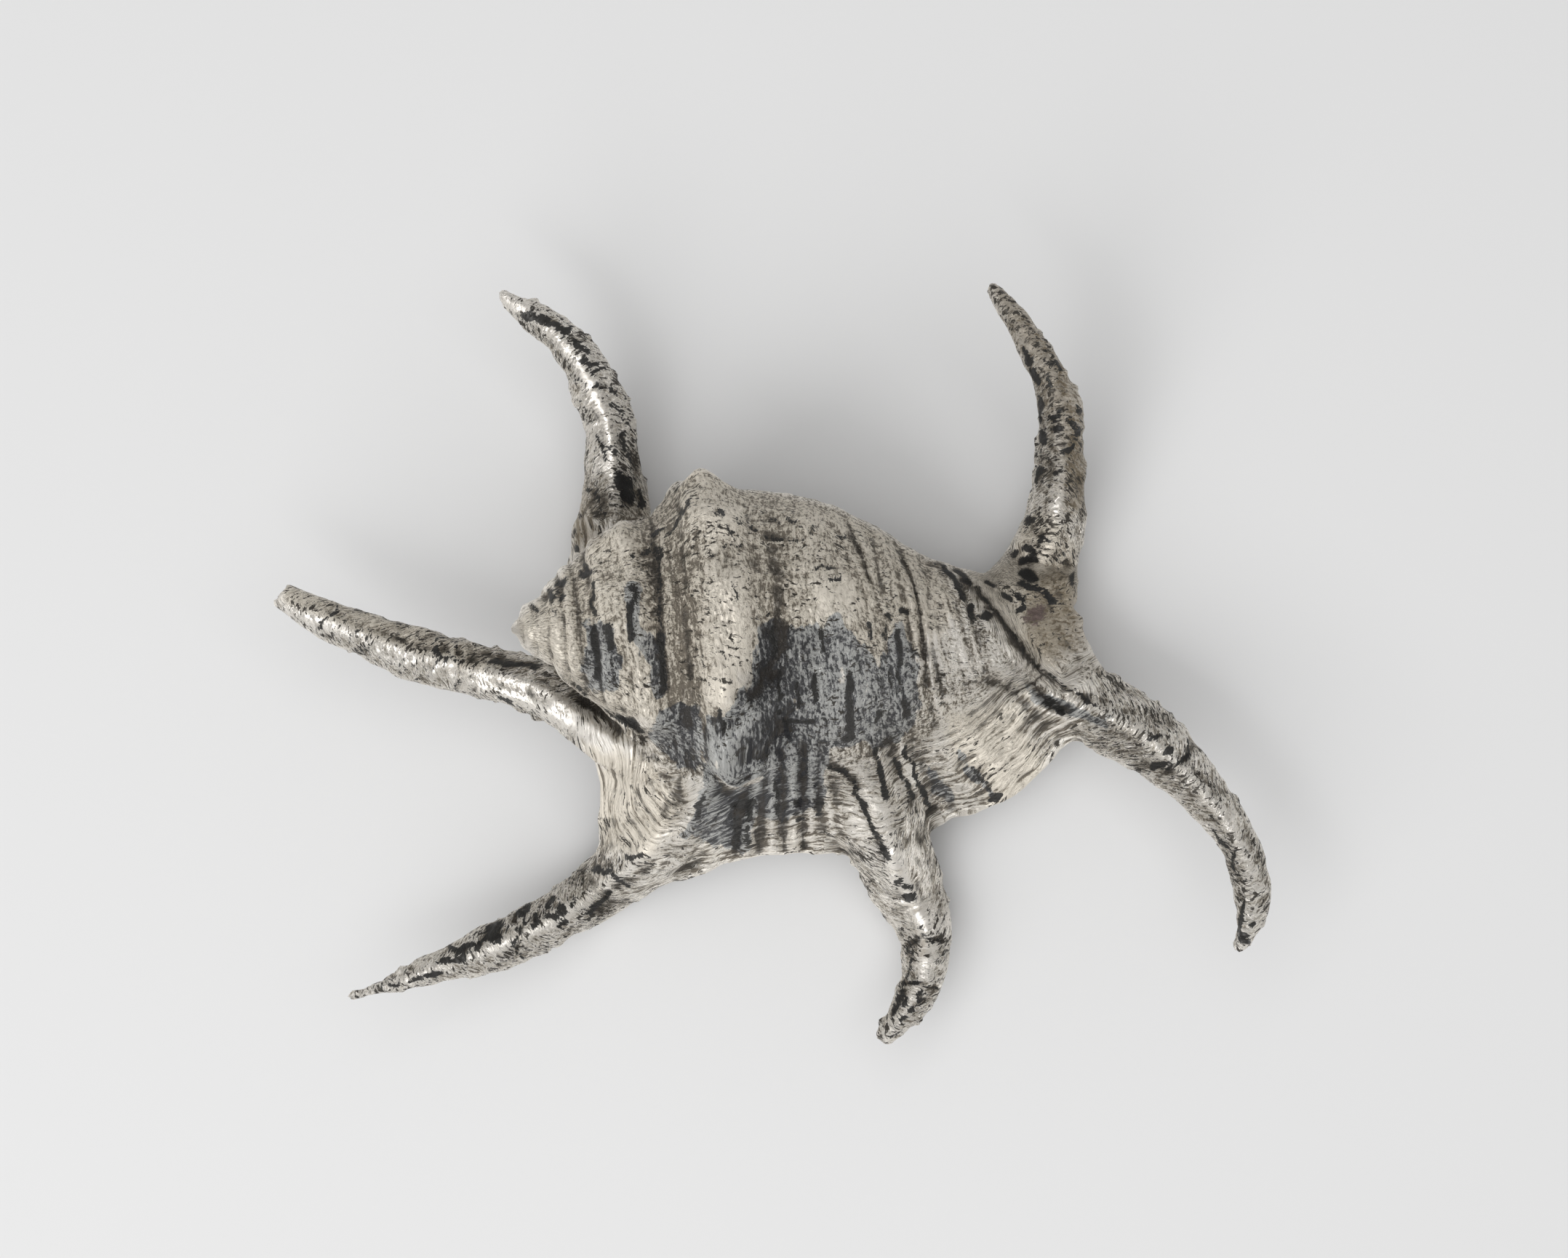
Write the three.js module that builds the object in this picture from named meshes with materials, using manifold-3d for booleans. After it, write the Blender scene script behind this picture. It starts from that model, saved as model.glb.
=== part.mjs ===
// A spider conch shell clad in silver, lying mouth down: a low knobbed spire, a wide body whorl, a flared
// outer lip, six hooked digits and the mouth slit underneath. It grew as one piece, so it is one solid.
//
// Millimetres, +Z up. The spire points to -X, the siphon to +X and the flared lip to -Y. The shell rests on
// z = 0, and the origin is there, below the middle of its outline.

import * as THREE from "three";
import { mergeVertices } from "three/addons/utils/BufferGeometryUtils.js";
import Module from "manifold-3d";

// Driving dimensions

const SHELL_LENGTH = 240; // from the broken digit beside the spire to the digit beside the siphon
const SHELL_HEIGHT = 79; // the floor to the highest shoulder knob

// The coiling axis as [x, y, z]. It leans down from spire to siphon, because the mouth side lies flat.
const COILING_AXIS = [
  [-64, 8.6, 45],
  [-36, 8, 43.5],
  [-15, 7, 38],
  [3, 7, 35],
  [20, 7, 30],
  [36, 6, 23.5],
  [52, 5, 18],
  [78, 2, 16],
];

// Whorl outline as [x, radius]. Each step of the spire ends in a suture, where the next whorl laps on.
const WHORL_PROFILE = [
  [-63.5, 0.4],
  [-61, 2.8],
  [-57.5, 6.2],
  [-55, 7.6],
  [-51.5, 12.2],
  [-47.5, 15.8],
  [-45, 16.6],
  [-40.5, 22],
  [-34.5, 26],
  [-30, 26.8],
  [-27, 26.6],
  [-21.5, 31.6],
  [-15.5, 36.6],
  [-9, 36.2],
  [3, 34.6],
  [15, 32.2],
  [28, 26.6],
  [36, 22],
  [44, 19],
  [55, 16],
  [66, 11],
  [74, 5.5],
  [76, 0.6],
];
const VENTRAL_FLATTENING = 0.07; // how much nearer to the axis the side the shell lies on is
const WHORL_SLANT = 0.11; // lean along x for each millimetre of radius, because a whorl climbs as it turns
const SMOOTH_RADIUS = 10; // near the apex, where the whorl is thinner than this, the relief fades out

// Knobs as [x, degrees round the axis from +Y over the top, height, half length, half width in degrees]
const KNOBS = [
  [-20.5, -3, 3.6, 4, 8],
  [-12.8, 16, 5.6, 5.5, 10],
  [-14, 42, 3.6, 6, 12],
  [-13.5, 76, 2, 5, 20],
  [-13, 108, 6, 5.5, 13],
  [-13, 142, 7.5, 6, 12],
  [-35, 30, 3.6, 5, 13],
  [-34, 82, 2, 5, 20],
  [-31, 133, 4.2, 5, 13],
  [12, 38, 1.6, 9, 14],
  [13, 74, 1.8, 9, 16],
  [12, 112, 1.4, 9, 16],
];

const CORD_SPACING = 6.6; // spiral cords run round the body whorl and out over the lip
const CORD_HEIGHT = 0.55;
const CORD_SPAN = [-9, 50]; // from the shoulder to the siphon

// The flared lip: points on its margin, each with the place inside the body whorl that it grows from
const LIP = [
  { margin: [-42, 0, 36], root: [-30, 10, 42] },
  { margin: [-46, -11.5, 27], root: [-28, -2, 40] },
  { margin: [-42, -31.8, 22], root: [-24, -12, 47] },
  { margin: [-42.5, -44, 15], root: [-20, -15, 51] },
  { margin: [-34, -55, 9], root: [-16, -17, 53] },
  { margin: [-23.7, -53.1, 13], root: [-10, -18, 53] },
  { margin: [-7.6, -48, 16], root: [0, -19, 52] },
  { margin: [6.9, -46, 16], root: [8, -18, 50] },
  { margin: [17, -46.6, 14], root: [15, -16, 47] },
  { margin: [31, -46.5, 9], root: [22, -13, 43] },
  { margin: [42.3, -38.2, 12], root: [29, -9, 38] },
  { margin: [52, -35.8, 15], root: [35, -6, 34] },
  { margin: [62.7, -29.2, 17], root: [41, -2, 30] },
  { margin: [69.8, -20.7, 18], root: [46, 3, 27] },
  { margin: [82, -12.5, 19], root: [50, 5, 25] },
  { margin: [79.6, -1, 19], root: [52, 6, 24] },
  { margin: [75.6, 7.7, 18], root: [53, 8, 23] },
  { margin: [72.5, 16.5, 16], root: [52, 10, 22] },
];
const LIP_EDGE_RADIUS = 3;
const LIP_ROOT_THICKNESS = 13;
const LIP_FLARE = 0.9; // how the lip falls from body to margin: 1 is straight, less is full, more is hollow
const LIP_RIB_HEIGHT = 0.7;
const LIP_RIBS = 22;

// Digits from tip to root, as [x, y, z, radius] along the middle of each one
const DIGITS = {
  spire_digit: [
    [-118.55, 16.9, 36, 3.3],
    [-108.9, 11.4, 34.5, 4.8],
    [-94.3, 5.7, 31.5, 5.8],
    [-84.3, 1.8, 29.5, 6.7],
    [-70.5, -1.7, 27.5, 6.2],
    [-57, -5.6, 27, 7.2],
    [-46.6, -11.4, 28, 7.3],
    [-37.8, -18.6, 33, 7.6],
    [-26, -22, 42, 6],
  ],
  back_digit: [
    [-65.6, 90, 34, 1.4],
    [-63.1, 87.5, 33.5, 2.3],
    [-55.5, 82.5, 31, 4],
    [-47.9, 75.4, 27, 5],
    [-43.4, 68.2, 22.5, 5.7],
    [-39.9, 57.3, 17, 6.5],
    [-38.6, 45.3, 12, 7.6],
    [-38.6, 35.5, 7.5, 9],
    [-40.4, 26.2, 10.5, 9.4],
    [-41.5, 12, 17, 9.4],
    [-38, -2, 24, 8],
  ],
  corner_digit: [
    [-102.3, -80.3, 27, 1.4],
    [-86.1, -75.1, 24, 2.9],
    [-71.5, -69.7, 20, 5.4],
    [-61.1, -65.6, 16.5, 6.4],
    [-51.7, -60.8, 12.5, 6.4],
    [-41.8, -54, 6, 7.6],
    [-33, -46.7, 16, 9],
    [-24.2, -36.2, 30, 9],
    [-15.5, -26, 43, 7.5],
    [-10, -16, 50, 5.5],
  ],
  lip_digit: [
    [26.5, -90.7, 21, 1.8],
    [28.3, -88.6, 20, 2.6],
    [32.4, -83.4, 17.5, 4.1],
    [36.4, -75.6, 14, 5.5],
    [37, -66.1, 10, 6.5],
    [34.5, -58.2, 7, 8.2],
    [30.9, -49.7, 10, 9.7],
    [26.3, -39.7, 18.5, 10.3],
    [21.4, -27.4, 31, 8.5],
    [18, -15, 40, 6],
  ],
  front_digit: [
    [112.8, -68.8, 33, 1.5],
    [113.9, -65.9, 33, 2.6],
    [115.4, -59, 32, 3.9],
    [115.2, -50.4, 30.5, 5],
    [110.9, -40.2, 28.5, 5.2],
    [103.1, -29.8, 26, 6.1],
    [95.1, -21.7, 23.5, 8],
    [87.3, -15.7, 21, 8.9],
    [77.5, -10.2, 20, 9.3],
    [66.2, -4, 20, 8.6],
    [55, 5, 20, 7],
  ],
  siphon_digit: [
    [52.1, 90.8, 44, 1.5],
    [54.5, 88.3, 43, 2.4],
    [59, 82.2, 41, 3.2],
    [66.8, 69, 36, 4.8],
    [69.5, 60.1, 31.5, 5.6],
    [69.4, 48.5, 25, 5.9],
    [68.5, 34.8, 17.5, 7.8],
    [65.7, 26.2, 11, 9],
    [62.8, 18.3, 9.8, 11.6],
    [57, 10, 14, 12],
  ],
};
const DIGIT_KEEL = 0.12; // the crest along the back of a digit, as a share of its radius
const KEEL_SHARPNESS = 6;
const DIGIT_FLATTENING = 0.94; // height of a digit over its width

// The broken end of the digit beside the spire is an open tube.
const BROKEN_END = { depth: 9, radius: 2.1 };

// The mouth is a slit under the lip that curls up round the columella. Its angles are in degrees round the
// axis, and its walls are shares of the whorl's radius there.
const MOUTH = {
  span: [-33, 49],
  opening: [205, 233],
  innerWall: 0.42,
  outerWall: 0.83,
  curlsTo: 105,
  outsideReach: 1.5,
  widthAtEnds: 0.43,
};

// Facets
const WHORL_STEPS = 54;
const WHORL_SIDES = 44;
const LIP_STEPS = 54;
const LIP_ROWS = 6;
const EDGE_ROWS = 3;
const DIGIT_STEPS = 22;
const DIGIT_SIDES = 10;
const MOUTH_STEPS = 16;
const MOUTH_ROWS = 7;
const SMALLEST_FACET = 0.03;

const wasm = await Module();
wasm.setup();

const degrees = THREE.MathUtils.degToRad;
const vector = ([x, y, z]) => new THREE.Vector3(x, y, z);
const curveThrough = (points) => new THREE.CatmullRomCurve3(points.map(vector));

// A solid from rings of points: each ring is joined to the next, and each end is zipped shut.
function loft(rings) {
  const sides = rings[0].length;
  const lastRing = (rings.length - 1) * sides;
  const faces = [];
  for (let side = 0; side < sides; side++) {
    const next = (side + 1) % sides;
    for (let ring = 0; ring < lastRing; ring += sides) {
      faces.push(ring + side, ring + next, ring + sides + next);
      faces.push(ring + side, ring + sides + next, ring + sides + side);
    }
  }
  for (let near = 0; near < sides / 2 - 1; near++) {
    const far = sides - 1 - near;
    faces.push(near, far - 1, near + 1, near, far, far - 1);
    const [a, b, c, d] = [near, near + 1, far - 1, far].map((corner) => lastRing + corner);
    faces.push(a, b, c, a, c, d);
  }
  const geometry = new THREE.BufferGeometry().setFromPoints(rings.flat());
  geometry.setIndex(faces);
  return solidOf(geometry);
}

// A geometry as a solid, turned face out whichever way its rings ran.
function solidOf(geometry) {
  const bare = geometry.clone();
  bare.deleteAttribute("normal");
  bare.deleteAttribute("uv");
  const merged = mergeVertices(bare, 1e-4);
  const triVerts = new Uint32Array(merged.index.array);
  const mesh = { numProp: 3, vertProperties: merged.getAttribute("position").array, triVerts };
  const solid = new wasm.Manifold(new wasm.Mesh(mesh));
  if (solid.volume() > 0) return solid;
  for (let i = 0; i < triVerts.length; i += 3) {
    [triVerts[i], triVerts[i + 1]] = [triVerts[i + 1], triVerts[i]];
  }
  return new wasm.Manifold(new wasm.Mesh(mesh));
}

// The point of a curve at x, found by halving, since x only grows along the curves of the whorl.
function pointAtX(curve, x) {
  let low = 0;
  let high = 1;
  for (let halving = 0; halving < 30; halving++) {
    const middle = (low + high) / 2;
    if (curve.getPoint(middle).x < x) low = middle;
    else high = middle;
  }
  return curve.getPoint(low).setX(x);
}

const axisCurve = curveThrough(COILING_AXIS);
const whorlProfile = new THREE.SplineCurve(WHORL_PROFILE.map(([x, radius]) => new THREE.Vector2(x, radius)));

// A point at an angle round the axis, from +Y over the top.
function aroundAxis(x, radius, angle) {
  const point = pointAtX(axisCurve, x);
  const lean = -WHORL_SLANT * radius * Math.cos(angle);
  return point.add(new THREE.Vector3(lean, radius * Math.cos(angle), radius * Math.sin(angle)));
}

// How far a knob, or a cord, lifts the whorl at a place.
function reliefAt(x, angle) {
  const round = THREE.MathUtils.radToDeg(angle);
  let lift = 0;
  for (const [knobX, knobAngle, height, halfLength, halfWidth] of KNOBS) {
    const along = (x - knobX) / halfLength;
    const across = (THREE.MathUtils.euclideanModulo(round - knobAngle + 180, 360) - 180) / halfWidth;
    lift += height * Math.exp(-along * along - across * across);
  }
  const [from, to] = CORD_SPAN;
  if (x > from && x < to) {
    lift += CORD_HEIGHT * Math.cos((2 * Math.PI * (x - from)) / CORD_SPACING) * Math.max(0, Math.sin(angle));
  }
  return lift;
}

function bodyWhorl() {
  const rings = whorlProfile.getPoints(WHORL_STEPS).map(({ x, y: radius }) =>
    Array.from({ length: WHORL_SIDES }, (_, side) => {
      const angle = (2 * Math.PI * side) / WHORL_SIDES;
      const flattened = radius * (1 - VENTRAL_FLATTENING * Math.max(0, -Math.sin(angle)) ** 2);
      const relief = reliefAt(x, angle) * Math.min(1, radius / SMOOTH_RADIUS);
      return aroundAxis(x, flattened + relief, angle);
    }),
  );
  return loft(rings);
}

// Each section of the lip runs from inside the body whorl down to a round margin and back underneath.
function flaredLip() {
  const margins = curveThrough(LIP.map(({ margin }) => margin));
  const roots = curveThrough(LIP.map(({ root }) => root));
  const rings = [];
  for (let step = 0; step <= LIP_STEPS; step++) {
    const t = step / LIP_STEPS;
    const margin = margins.getPoint(t);
    const root = roots.getPoint(t);
    const outward = new THREE.Vector3(margin.x - root.x, margin.y - root.y, 0).normalize();
    const edge = margin.clone().addScaledVector(outward, -LIP_EDGE_RADIUS);
    const rib = LIP_RIB_HEIGHT * Math.cos(2 * Math.PI * LIP_RIBS * t);
    const top = [];
    const bottom = [];
    for (let row = 0; row <= LIP_ROWS; row++) {
      const out = row / LIP_ROWS;
      const flare = (1 - out) ** LIP_FLARE;
      const point = root.clone().lerp(edge, out);
      const middle = edge.z + (root.z - edge.z) * flare;
      const half = LIP_EDGE_RADIUS + (LIP_ROOT_THICKNESS / 2 - LIP_EDGE_RADIUS) * (1 - out);
      top.push(point.clone().setZ(middle + half + rib * out));
      bottom.push(point.clone().setZ(middle - half));
    }
    const round = [];
    for (let row = 1; row < EDGE_ROWS; row++) {
      const angle = Math.PI * (0.5 - row / EDGE_ROWS);
      const reach = LIP_EDGE_RADIUS * Math.cos(angle);
      const lift = new THREE.Vector3(0, 0, LIP_EDGE_RADIUS * Math.sin(angle));
      round.push(edge.clone().addScaledVector(outward, reach).add(lift));
    }
    rings.push([...top, ...round, ...bottom.reverse()]);
  }
  return loft(rings);
}

// A digit is a tapering horn with a crest along its back.
function digit(points) {
  const path = curveThrough(points);
  const radii = new THREE.SplineCurve(points.map((p, i) => new THREE.Vector2(i, p[3])));
  const rings = [];
  for (let step = 0; step <= DIGIT_STEPS; step++) {
    const t = step / DIGIT_STEPS;
    const centre = path.getPoint(t);
    const radius = radii.getPoint(t).y;
    const ahead = path.getTangent(t);
    const sideways = new THREE.Vector3(-ahead.y, ahead.x, 0).normalize();
    const upward = ahead.clone().cross(sideways);
    const ring = [];
    for (let side = 0; side < DIGIT_SIDES; side++) {
      const angle = (2 * Math.PI * side) / DIGIT_SIDES + Math.PI / 2;
      const keel = 1 + DIGIT_KEEL * Math.max(0, Math.sin(angle)) ** KEEL_SHARPNESS;
      const across = radius * Math.cos(angle);
      const up = radius * DIGIT_FLATTENING * keel * Math.sin(angle);
      ring.push(centre.clone().addScaledVector(sideways, across).addScaledVector(upward, up));
    }
    rings.push(ring);
  }
  return loft(rings);
}

// The hollow of the broken digit: a cone that enters at the tip.
function brokenEnd() {
  const path = curveThrough(DIGITS.spire_digit);
  const tip = path.getPoint(0);
  const inward = path.getTangent(0);
  const cone = new THREE.ConeGeometry(BROKEN_END.radius, 2 * BROKEN_END.depth, DIGIT_SIDES);
  cone.applyQuaternion(new THREE.Quaternion().setFromUnitVectors(new THREE.Vector3(0, 1, 0), inward));
  cone.translate(tip.x, tip.y, tip.z);
  return solidOf(cone);
}

// The mouth curls up inside the body whorl from the slit under the lip.
function mouth() {
  const [from, to] = MOUTH.span;
  const [lipSide, columellaSide] = MOUTH.opening.map(degrees);
  const openingMiddle = (lipSide + columellaSide) / 2;
  const wallMiddle = (MOUTH.innerWall + MOUTH.outerWall) / 2;
  const rings = [];
  for (let step = 0; step <= MOUTH_STEPS; step++) {
    const t = step / MOUTH_STEPS;
    const x = THREE.MathUtils.lerp(from, to, t);
    const radius = pointAtX(whorlProfile, x).y;
    const width = THREE.MathUtils.lerp(MOUTH.widthAtEnds, 1, Math.sin(Math.PI * t) ** 0.5);
    const walls = [-1, 1].map((side) => {
      const start = openingMiddle + (side * width * (columellaSide - lipSide)) / 2;
      const share = wallMiddle - (side * width * (MOUTH.outerWall - MOUTH.innerWall)) / 2;
      const wall = [aroundAxis(x, radius * MOUTH.outsideReach, start)];
      for (let row = 0; row <= MOUTH_ROWS; row++) {
        const angle = THREE.MathUtils.lerp(start, degrees(MOUTH.curlsTo), row / MOUTH_ROWS);
        wall.push(aroundAxis(x, radius * share, angle));
      }
      return wall;
    });
    rings.push([...walls[0], ...walls[1].reverse()]);
  }
  return loft(rings);
}

// Everything under the floor is worn away, which leaves a small flat at each place the shell rests on.
function belowFloor() {
  const box = new THREE.BoxGeometry(2 * SHELL_LENGTH, 2 * SHELL_LENGTH, SHELL_HEIGHT);
  box.translate(0, 0, -SHELL_HEIGHT / 2);
  return solidOf(box);
}

function silverShell() {
  let solid = bodyWhorl().add(flaredLip());
  for (const points of Object.values(DIGITS)) solid = solid.add(digit(points));
  solid = solid.subtract(mouth()).subtract(brokenEnd()).subtract(belowFloor()).simplify(SMALLEST_FACET);
  const { vertProperties, triVerts } = solid.getMesh();
  const geometry = new THREE.BufferGeometry();
  geometry.setAttribute("position", new THREE.BufferAttribute(vertProperties, 3));
  geometry.setIndex(new THREE.BufferAttribute(triVerts, 1));
  geometry.computeVertexNormals();
  const silver = new THREE.MeshStandardMaterial({ color: 0xb9b2a4, metalness: 1, roughness: 0.42 });
  const mesh = new THREE.Mesh(geometry, silver);
  mesh.name = "shell";
  return mesh;
}

const spiderConch = new THREE.Group();
spiderConch.add(silverShell());

export default spiderConch;
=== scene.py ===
# %% [markdown]
# # A spider conch in aged silver
#
# The real object is a large spider conch: a sea snail's shell with a knobbed spire, a wide body whorl, a
# flared lip and six hooked digits. It was covered with a thin skin of silver, which has worn bright on what
# stands out and gone grey, brown and black in the hollows. It lies mouth down, seen from straight above.
#
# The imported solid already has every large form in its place, so this lesson starts from that solid. It
# first gives it a fine, even skin of small faces, then carves what a shell grows by itself (cords, growth
# lines, folds, wrinkles), and last paints the silver with nodes that follow the growth of the shell.

# %% Load the frame
import math

import bpy
import numpy as np
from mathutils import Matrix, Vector


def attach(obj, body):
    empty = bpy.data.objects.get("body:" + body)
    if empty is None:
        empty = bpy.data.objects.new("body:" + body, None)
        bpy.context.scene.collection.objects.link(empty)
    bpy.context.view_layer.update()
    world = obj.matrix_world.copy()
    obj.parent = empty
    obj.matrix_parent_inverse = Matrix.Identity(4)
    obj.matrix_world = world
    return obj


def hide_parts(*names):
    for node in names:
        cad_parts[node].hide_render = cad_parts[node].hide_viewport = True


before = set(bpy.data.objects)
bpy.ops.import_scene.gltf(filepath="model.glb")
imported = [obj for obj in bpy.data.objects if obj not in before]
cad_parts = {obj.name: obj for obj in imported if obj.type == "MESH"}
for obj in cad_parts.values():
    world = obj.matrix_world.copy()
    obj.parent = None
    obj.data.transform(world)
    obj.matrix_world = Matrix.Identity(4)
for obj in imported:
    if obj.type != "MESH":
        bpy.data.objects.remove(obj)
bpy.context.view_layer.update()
MM = 0.001

# %% [markdown]
# ## A fine skin over the solid
#
# The solid has about ten thousand facets, some long and some tiny, which would show as flat spots. A voxel
# remesh wraps it in a net of even quads instead. The net is as fine as the triangle budget of one piece
# allows, a little under a millimetre, so folds and cords can be real relief. Only wrinkles finer than that
# are left to bump in the material.

# %% Wrap the solid in even quads
NET_SIZE = 0.95 * MM

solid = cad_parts["shell"]
wrapped = bpy.data.objects.new("wrapped", solid.data.copy())
bpy.context.scene.collection.objects.link(wrapped)
wrap = wrapped.modifiers.new("wrap", "REMESH")
wrap.mode = "VOXEL"
wrap.voxel_size = NET_SIZE
skin = bpy.data.meshes.new_from_object(wrapped.evaluated_get(bpy.context.evaluated_depsgraph_get()))
bpy.data.objects.remove(wrapped)

points = np.empty(3 * len(skin.vertices), np.float32)
skin.vertices.foreach_get("co", points)
points = points.reshape(-1, 3).astype(float) / MM
edges = np.empty(2 * len(skin.edges), np.int32)
skin.edges.foreach_get("vertices", edges)
edges = edges.reshape(-1, 2)
quads = np.empty(len(skin.loops), np.int32)
skin.loops.foreach_get("vertex_index", quads)
quads = quads.reshape(-1, 4)
print("skin:", len(points), "points,", 2 * len(quads), "triangles")

# %% [markdown]
# ## Helpers for a surface of points
#
# A few small helpers do most of the carving. One averages each point's neighbours, which smooths. One finds
# which way the surface faces. One gives soft random lumps of a chosen size in millimetres, always the same
# ones for the same seed. One tells which points lie inside an outline drawn from above.

# %% Smooth, face and lump
LUMP_CELLS = 32

neighbours = np.bincount(edges.ravel(), minlength=len(points))


def neighbour_mean(values):
    """The mean of each point's neighbours."""
    columns = []
    for column in values.reshape(len(points), -1).T:
        total = np.bincount(edges[:, 0], column[edges[:, 1]], len(points))
        total += np.bincount(edges[:, 1], column[edges[:, 0]], len(points))
        columns.append(total / neighbours)
    return np.stack(columns, 1).reshape(values.shape)


def facing(places):
    """The way that the surface faces at each point."""
    corners = places[quads]
    normals = np.cross(corners[:, 2] - corners[:, 0], corners[:, 3] - corners[:, 1])
    total = np.stack([np.bincount(quads.ravel(), np.repeat(n, 4), len(places)) for n in normals.T], 1)
    return total / np.maximum(np.linalg.norm(total, axis=1, keepdims=True), 1e-9)


def lumps(places, size, seed):
    """Soft random lumps of a size in millimetres, from -1 to 1."""
    table = np.random.default_rng(seed).uniform(-1, 1, (LUMP_CELLS,) * 3)
    scaled = places / size
    cell = np.floor(scaled).astype(int)
    part = scaled - cell
    part = part * part * (3 - 2 * part)
    total = np.zeros(len(places))
    for corner in np.ndindex(2, 2, 2):
        share = np.prod(np.where(corner, part, 1 - part), axis=1)
        total += share * table[tuple(((cell + corner) % LUMP_CELLS).T)]
    return total


def ramp(values, low, high):
    """A smooth rise from 0 to 1 between two values, or a fall where low is above high."""
    share = np.clip((values - low) / (high - low), 0, 1)
    return share * share * (3 - 2 * share)


def within(outlines, soft):
    """1 inside drawn outlines, 0 outside, with an edge so many millimetres wide."""
    total = np.zeros(len(points))
    for outline in outlines:
        corners = np.array(outline, float)
        best = np.full(len(points), np.inf)
        inside = np.zeros(len(points), bool)
        for start, end in zip(corners, np.roll(corners, -1, 0)):
            run = end - start
            apart = points[:, :2] - start
            share = np.clip(apart @ run / (run @ run), 0, 1)
            best = np.minimum(best, np.linalg.norm(apart - share[:, None] * run, axis=1))
            crosses = (start[1] > points[:, 1]) != (end[1] > points[:, 1])
            if abs(run[1]) > 1e-9:
                inside ^= crosses & (apart[:, 0] < apart[:, 1] * run[0] / run[1])
        total = np.maximum(total, ramp(np.where(inside, best, -best), -soft, soft))
    return total


# %% [markdown]
# ## Fill the creases
#
# A shell has no sharp joints: a digit flows out of the lip in a broad curve. Where the solid's pieces meet,
# it has a crease. Moving only the points that lie lower than their neighbours fills each crease with a
# fillet and leaves knobs and tips as they are. The steps of the spire and the open end of the broken digit
# are kept out of this.

# %% Soften the solid
CREASE_ROUNDS = 50
FACING_EVERY = 5
SMOOTH_ROUNDS = 5
SMOOTH_IN = 0.5
SMOOTH_OUT = -0.52
BROKEN_TIP = np.array([-118.6, 16.9, 36])
SPIRE_MIDDLE = np.array([-44, 9, 45])

keep_open = ramp(np.linalg.norm(points - BROKEN_TIP, axis=1), 8, 14)
can_fill = keep_open * ramp(np.linalg.norm((points - SPIRE_MIDDLE) / (1, 1, 1.4), axis=1), 24, 30)
for step in range(CREASE_ROUNDS):
    if step % FACING_EVERY == 0:
        normals = facing(points)
    sunk = ((neighbour_mean(points) - points) * normals).sum(1)
    points += normals * (np.maximum(sunk, 0) * can_fill)[:, None]
for share in (SMOOTH_IN, SMOOTH_OUT) * SMOOTH_ROUNDS:
    points += share * (neighbour_mean(points) - points)
points[:, 2] = np.maximum(points[:, 2], 0)
normals = facing(points)
print("softened, highest point", round(points[:, 2].max(), 1), "mm")

# %% [markdown]
# ## What is seen from above
#
# The folds and the ageing of the back are drawn from above, and must not reach the underside. A coarse
# table of heights tells which points lie on top.

# %% Find what lies on top
CELL = 2.0
TABLE_REACH = 150
TABLE_CELLS = int(2 * TABLE_REACH / CELL)
TOP_ROUNDS = 8

cells = np.floor((points[:, :2] + TABLE_REACH) / CELL).astype(int)
top_of = np.full((TABLE_CELLS, TABLE_CELLS), -1.0)
np.maximum.at(top_of, tuple(cells.T), points[:, 2])
on_top = ramp(points[:, 2] - top_of[tuple(cells.T)], -9, -4) * ramp(normals[:, 2], 0, 0.3)
for step in range(TOP_ROUNDS):
    on_top = neighbour_mean(on_top)
print("seen from above:", round(100 * (on_top > 0.5).mean()), "% of the points")

# %% [markdown]
# ## Which way the shell grew
#
# Everything on a shell follows its growth. Cords run round the whorl and out over the lip, and growth lines
# run across them, along each old edge of the mouth. So each point gets two lengths in millimetres:
# `across`, which is the same all along one cord, and `grown`, which is the same all along one old edge. On
# the body they come from the coiling axis, on the lip from lines that fan out to its margin.

# %% Measure the body and the lip
# The coiling axis: x, y, z
AXIS = np.array([
    (-64, 8.6, 45), (-36, 8, 43.5), (-15, 7, 38), (3, 7, 35), (20, 7, 30), (36, 6, 23.5), (52, 5, 18),
    (78, 2, 16)
])
WHORL_SLANT = 0.11
SIPHON_SLANT = 0.13
BODY_RADIUS = 34
LIP_ANGLE = math.radians(165)
LIP_WIDTH = 26

# Lines that fan out over the lip: x, y at the margin and x, y at the root
LIP_FAN = np.array([
    (-42, 0, -30, 10), (-46, -11.5, -28, -2), (-42, -31.8, -24, -12), (-42.5, -44, -20, -15),
    (-34, -55, -16, -17), (-23.7, -53.1, -10, -18), (-7.6, -48, 0, -19), (6.9, -46, 8, -18),
    (17, -46.6, 15, -16), (31, -46.5, 22, -13), (42.3, -38.2, 29, -9), (52, -35.8, 35, -6),
    (62.7, -29.2, 41, -2), (69.8, -20.7, 46, 3), (82, -12.5, 50, 5), (79.6, -1, 52, 6),
    (75.6, 7.7, 53, 8), (72.5, 16.5, 54, 10)
])
FAN_LINES = 160
FAN_ROUNDS = 12

# Outline of the spire and the body as seen from above, down to the crevice and the foot of the body
BODY_OUTLINE = [
    (-66, 8), (-47.5, -3.6), (-44, -9), (-37.8, -10.4), (-33, -13), (-28, -18), (-20, -26), (-14, -29),
    (-10, -28), (0, -22), (10, -20), (25, -19), (38, -13), (50, -4), (56, 8), (40, 26), (20, 40),
    (-15, 52)
]

off_axis = points[:, 1:] - np.stack([np.interp(points[:, 0], AXIS[:, 0], AXIS[:, i]) for i in (1, 2)], 1)
angle = np.arctan2(off_axis[:, 1], off_axis[:, 0])
angle = np.where(angle < -math.pi / 2, angle + 2 * math.pi, angle)
whorl_x = points[:, 0] + (WHORL_SLANT + SIPHON_SLANT * ramp(points[:, 0], 5, 35)) * off_axis[:, 0]

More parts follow.
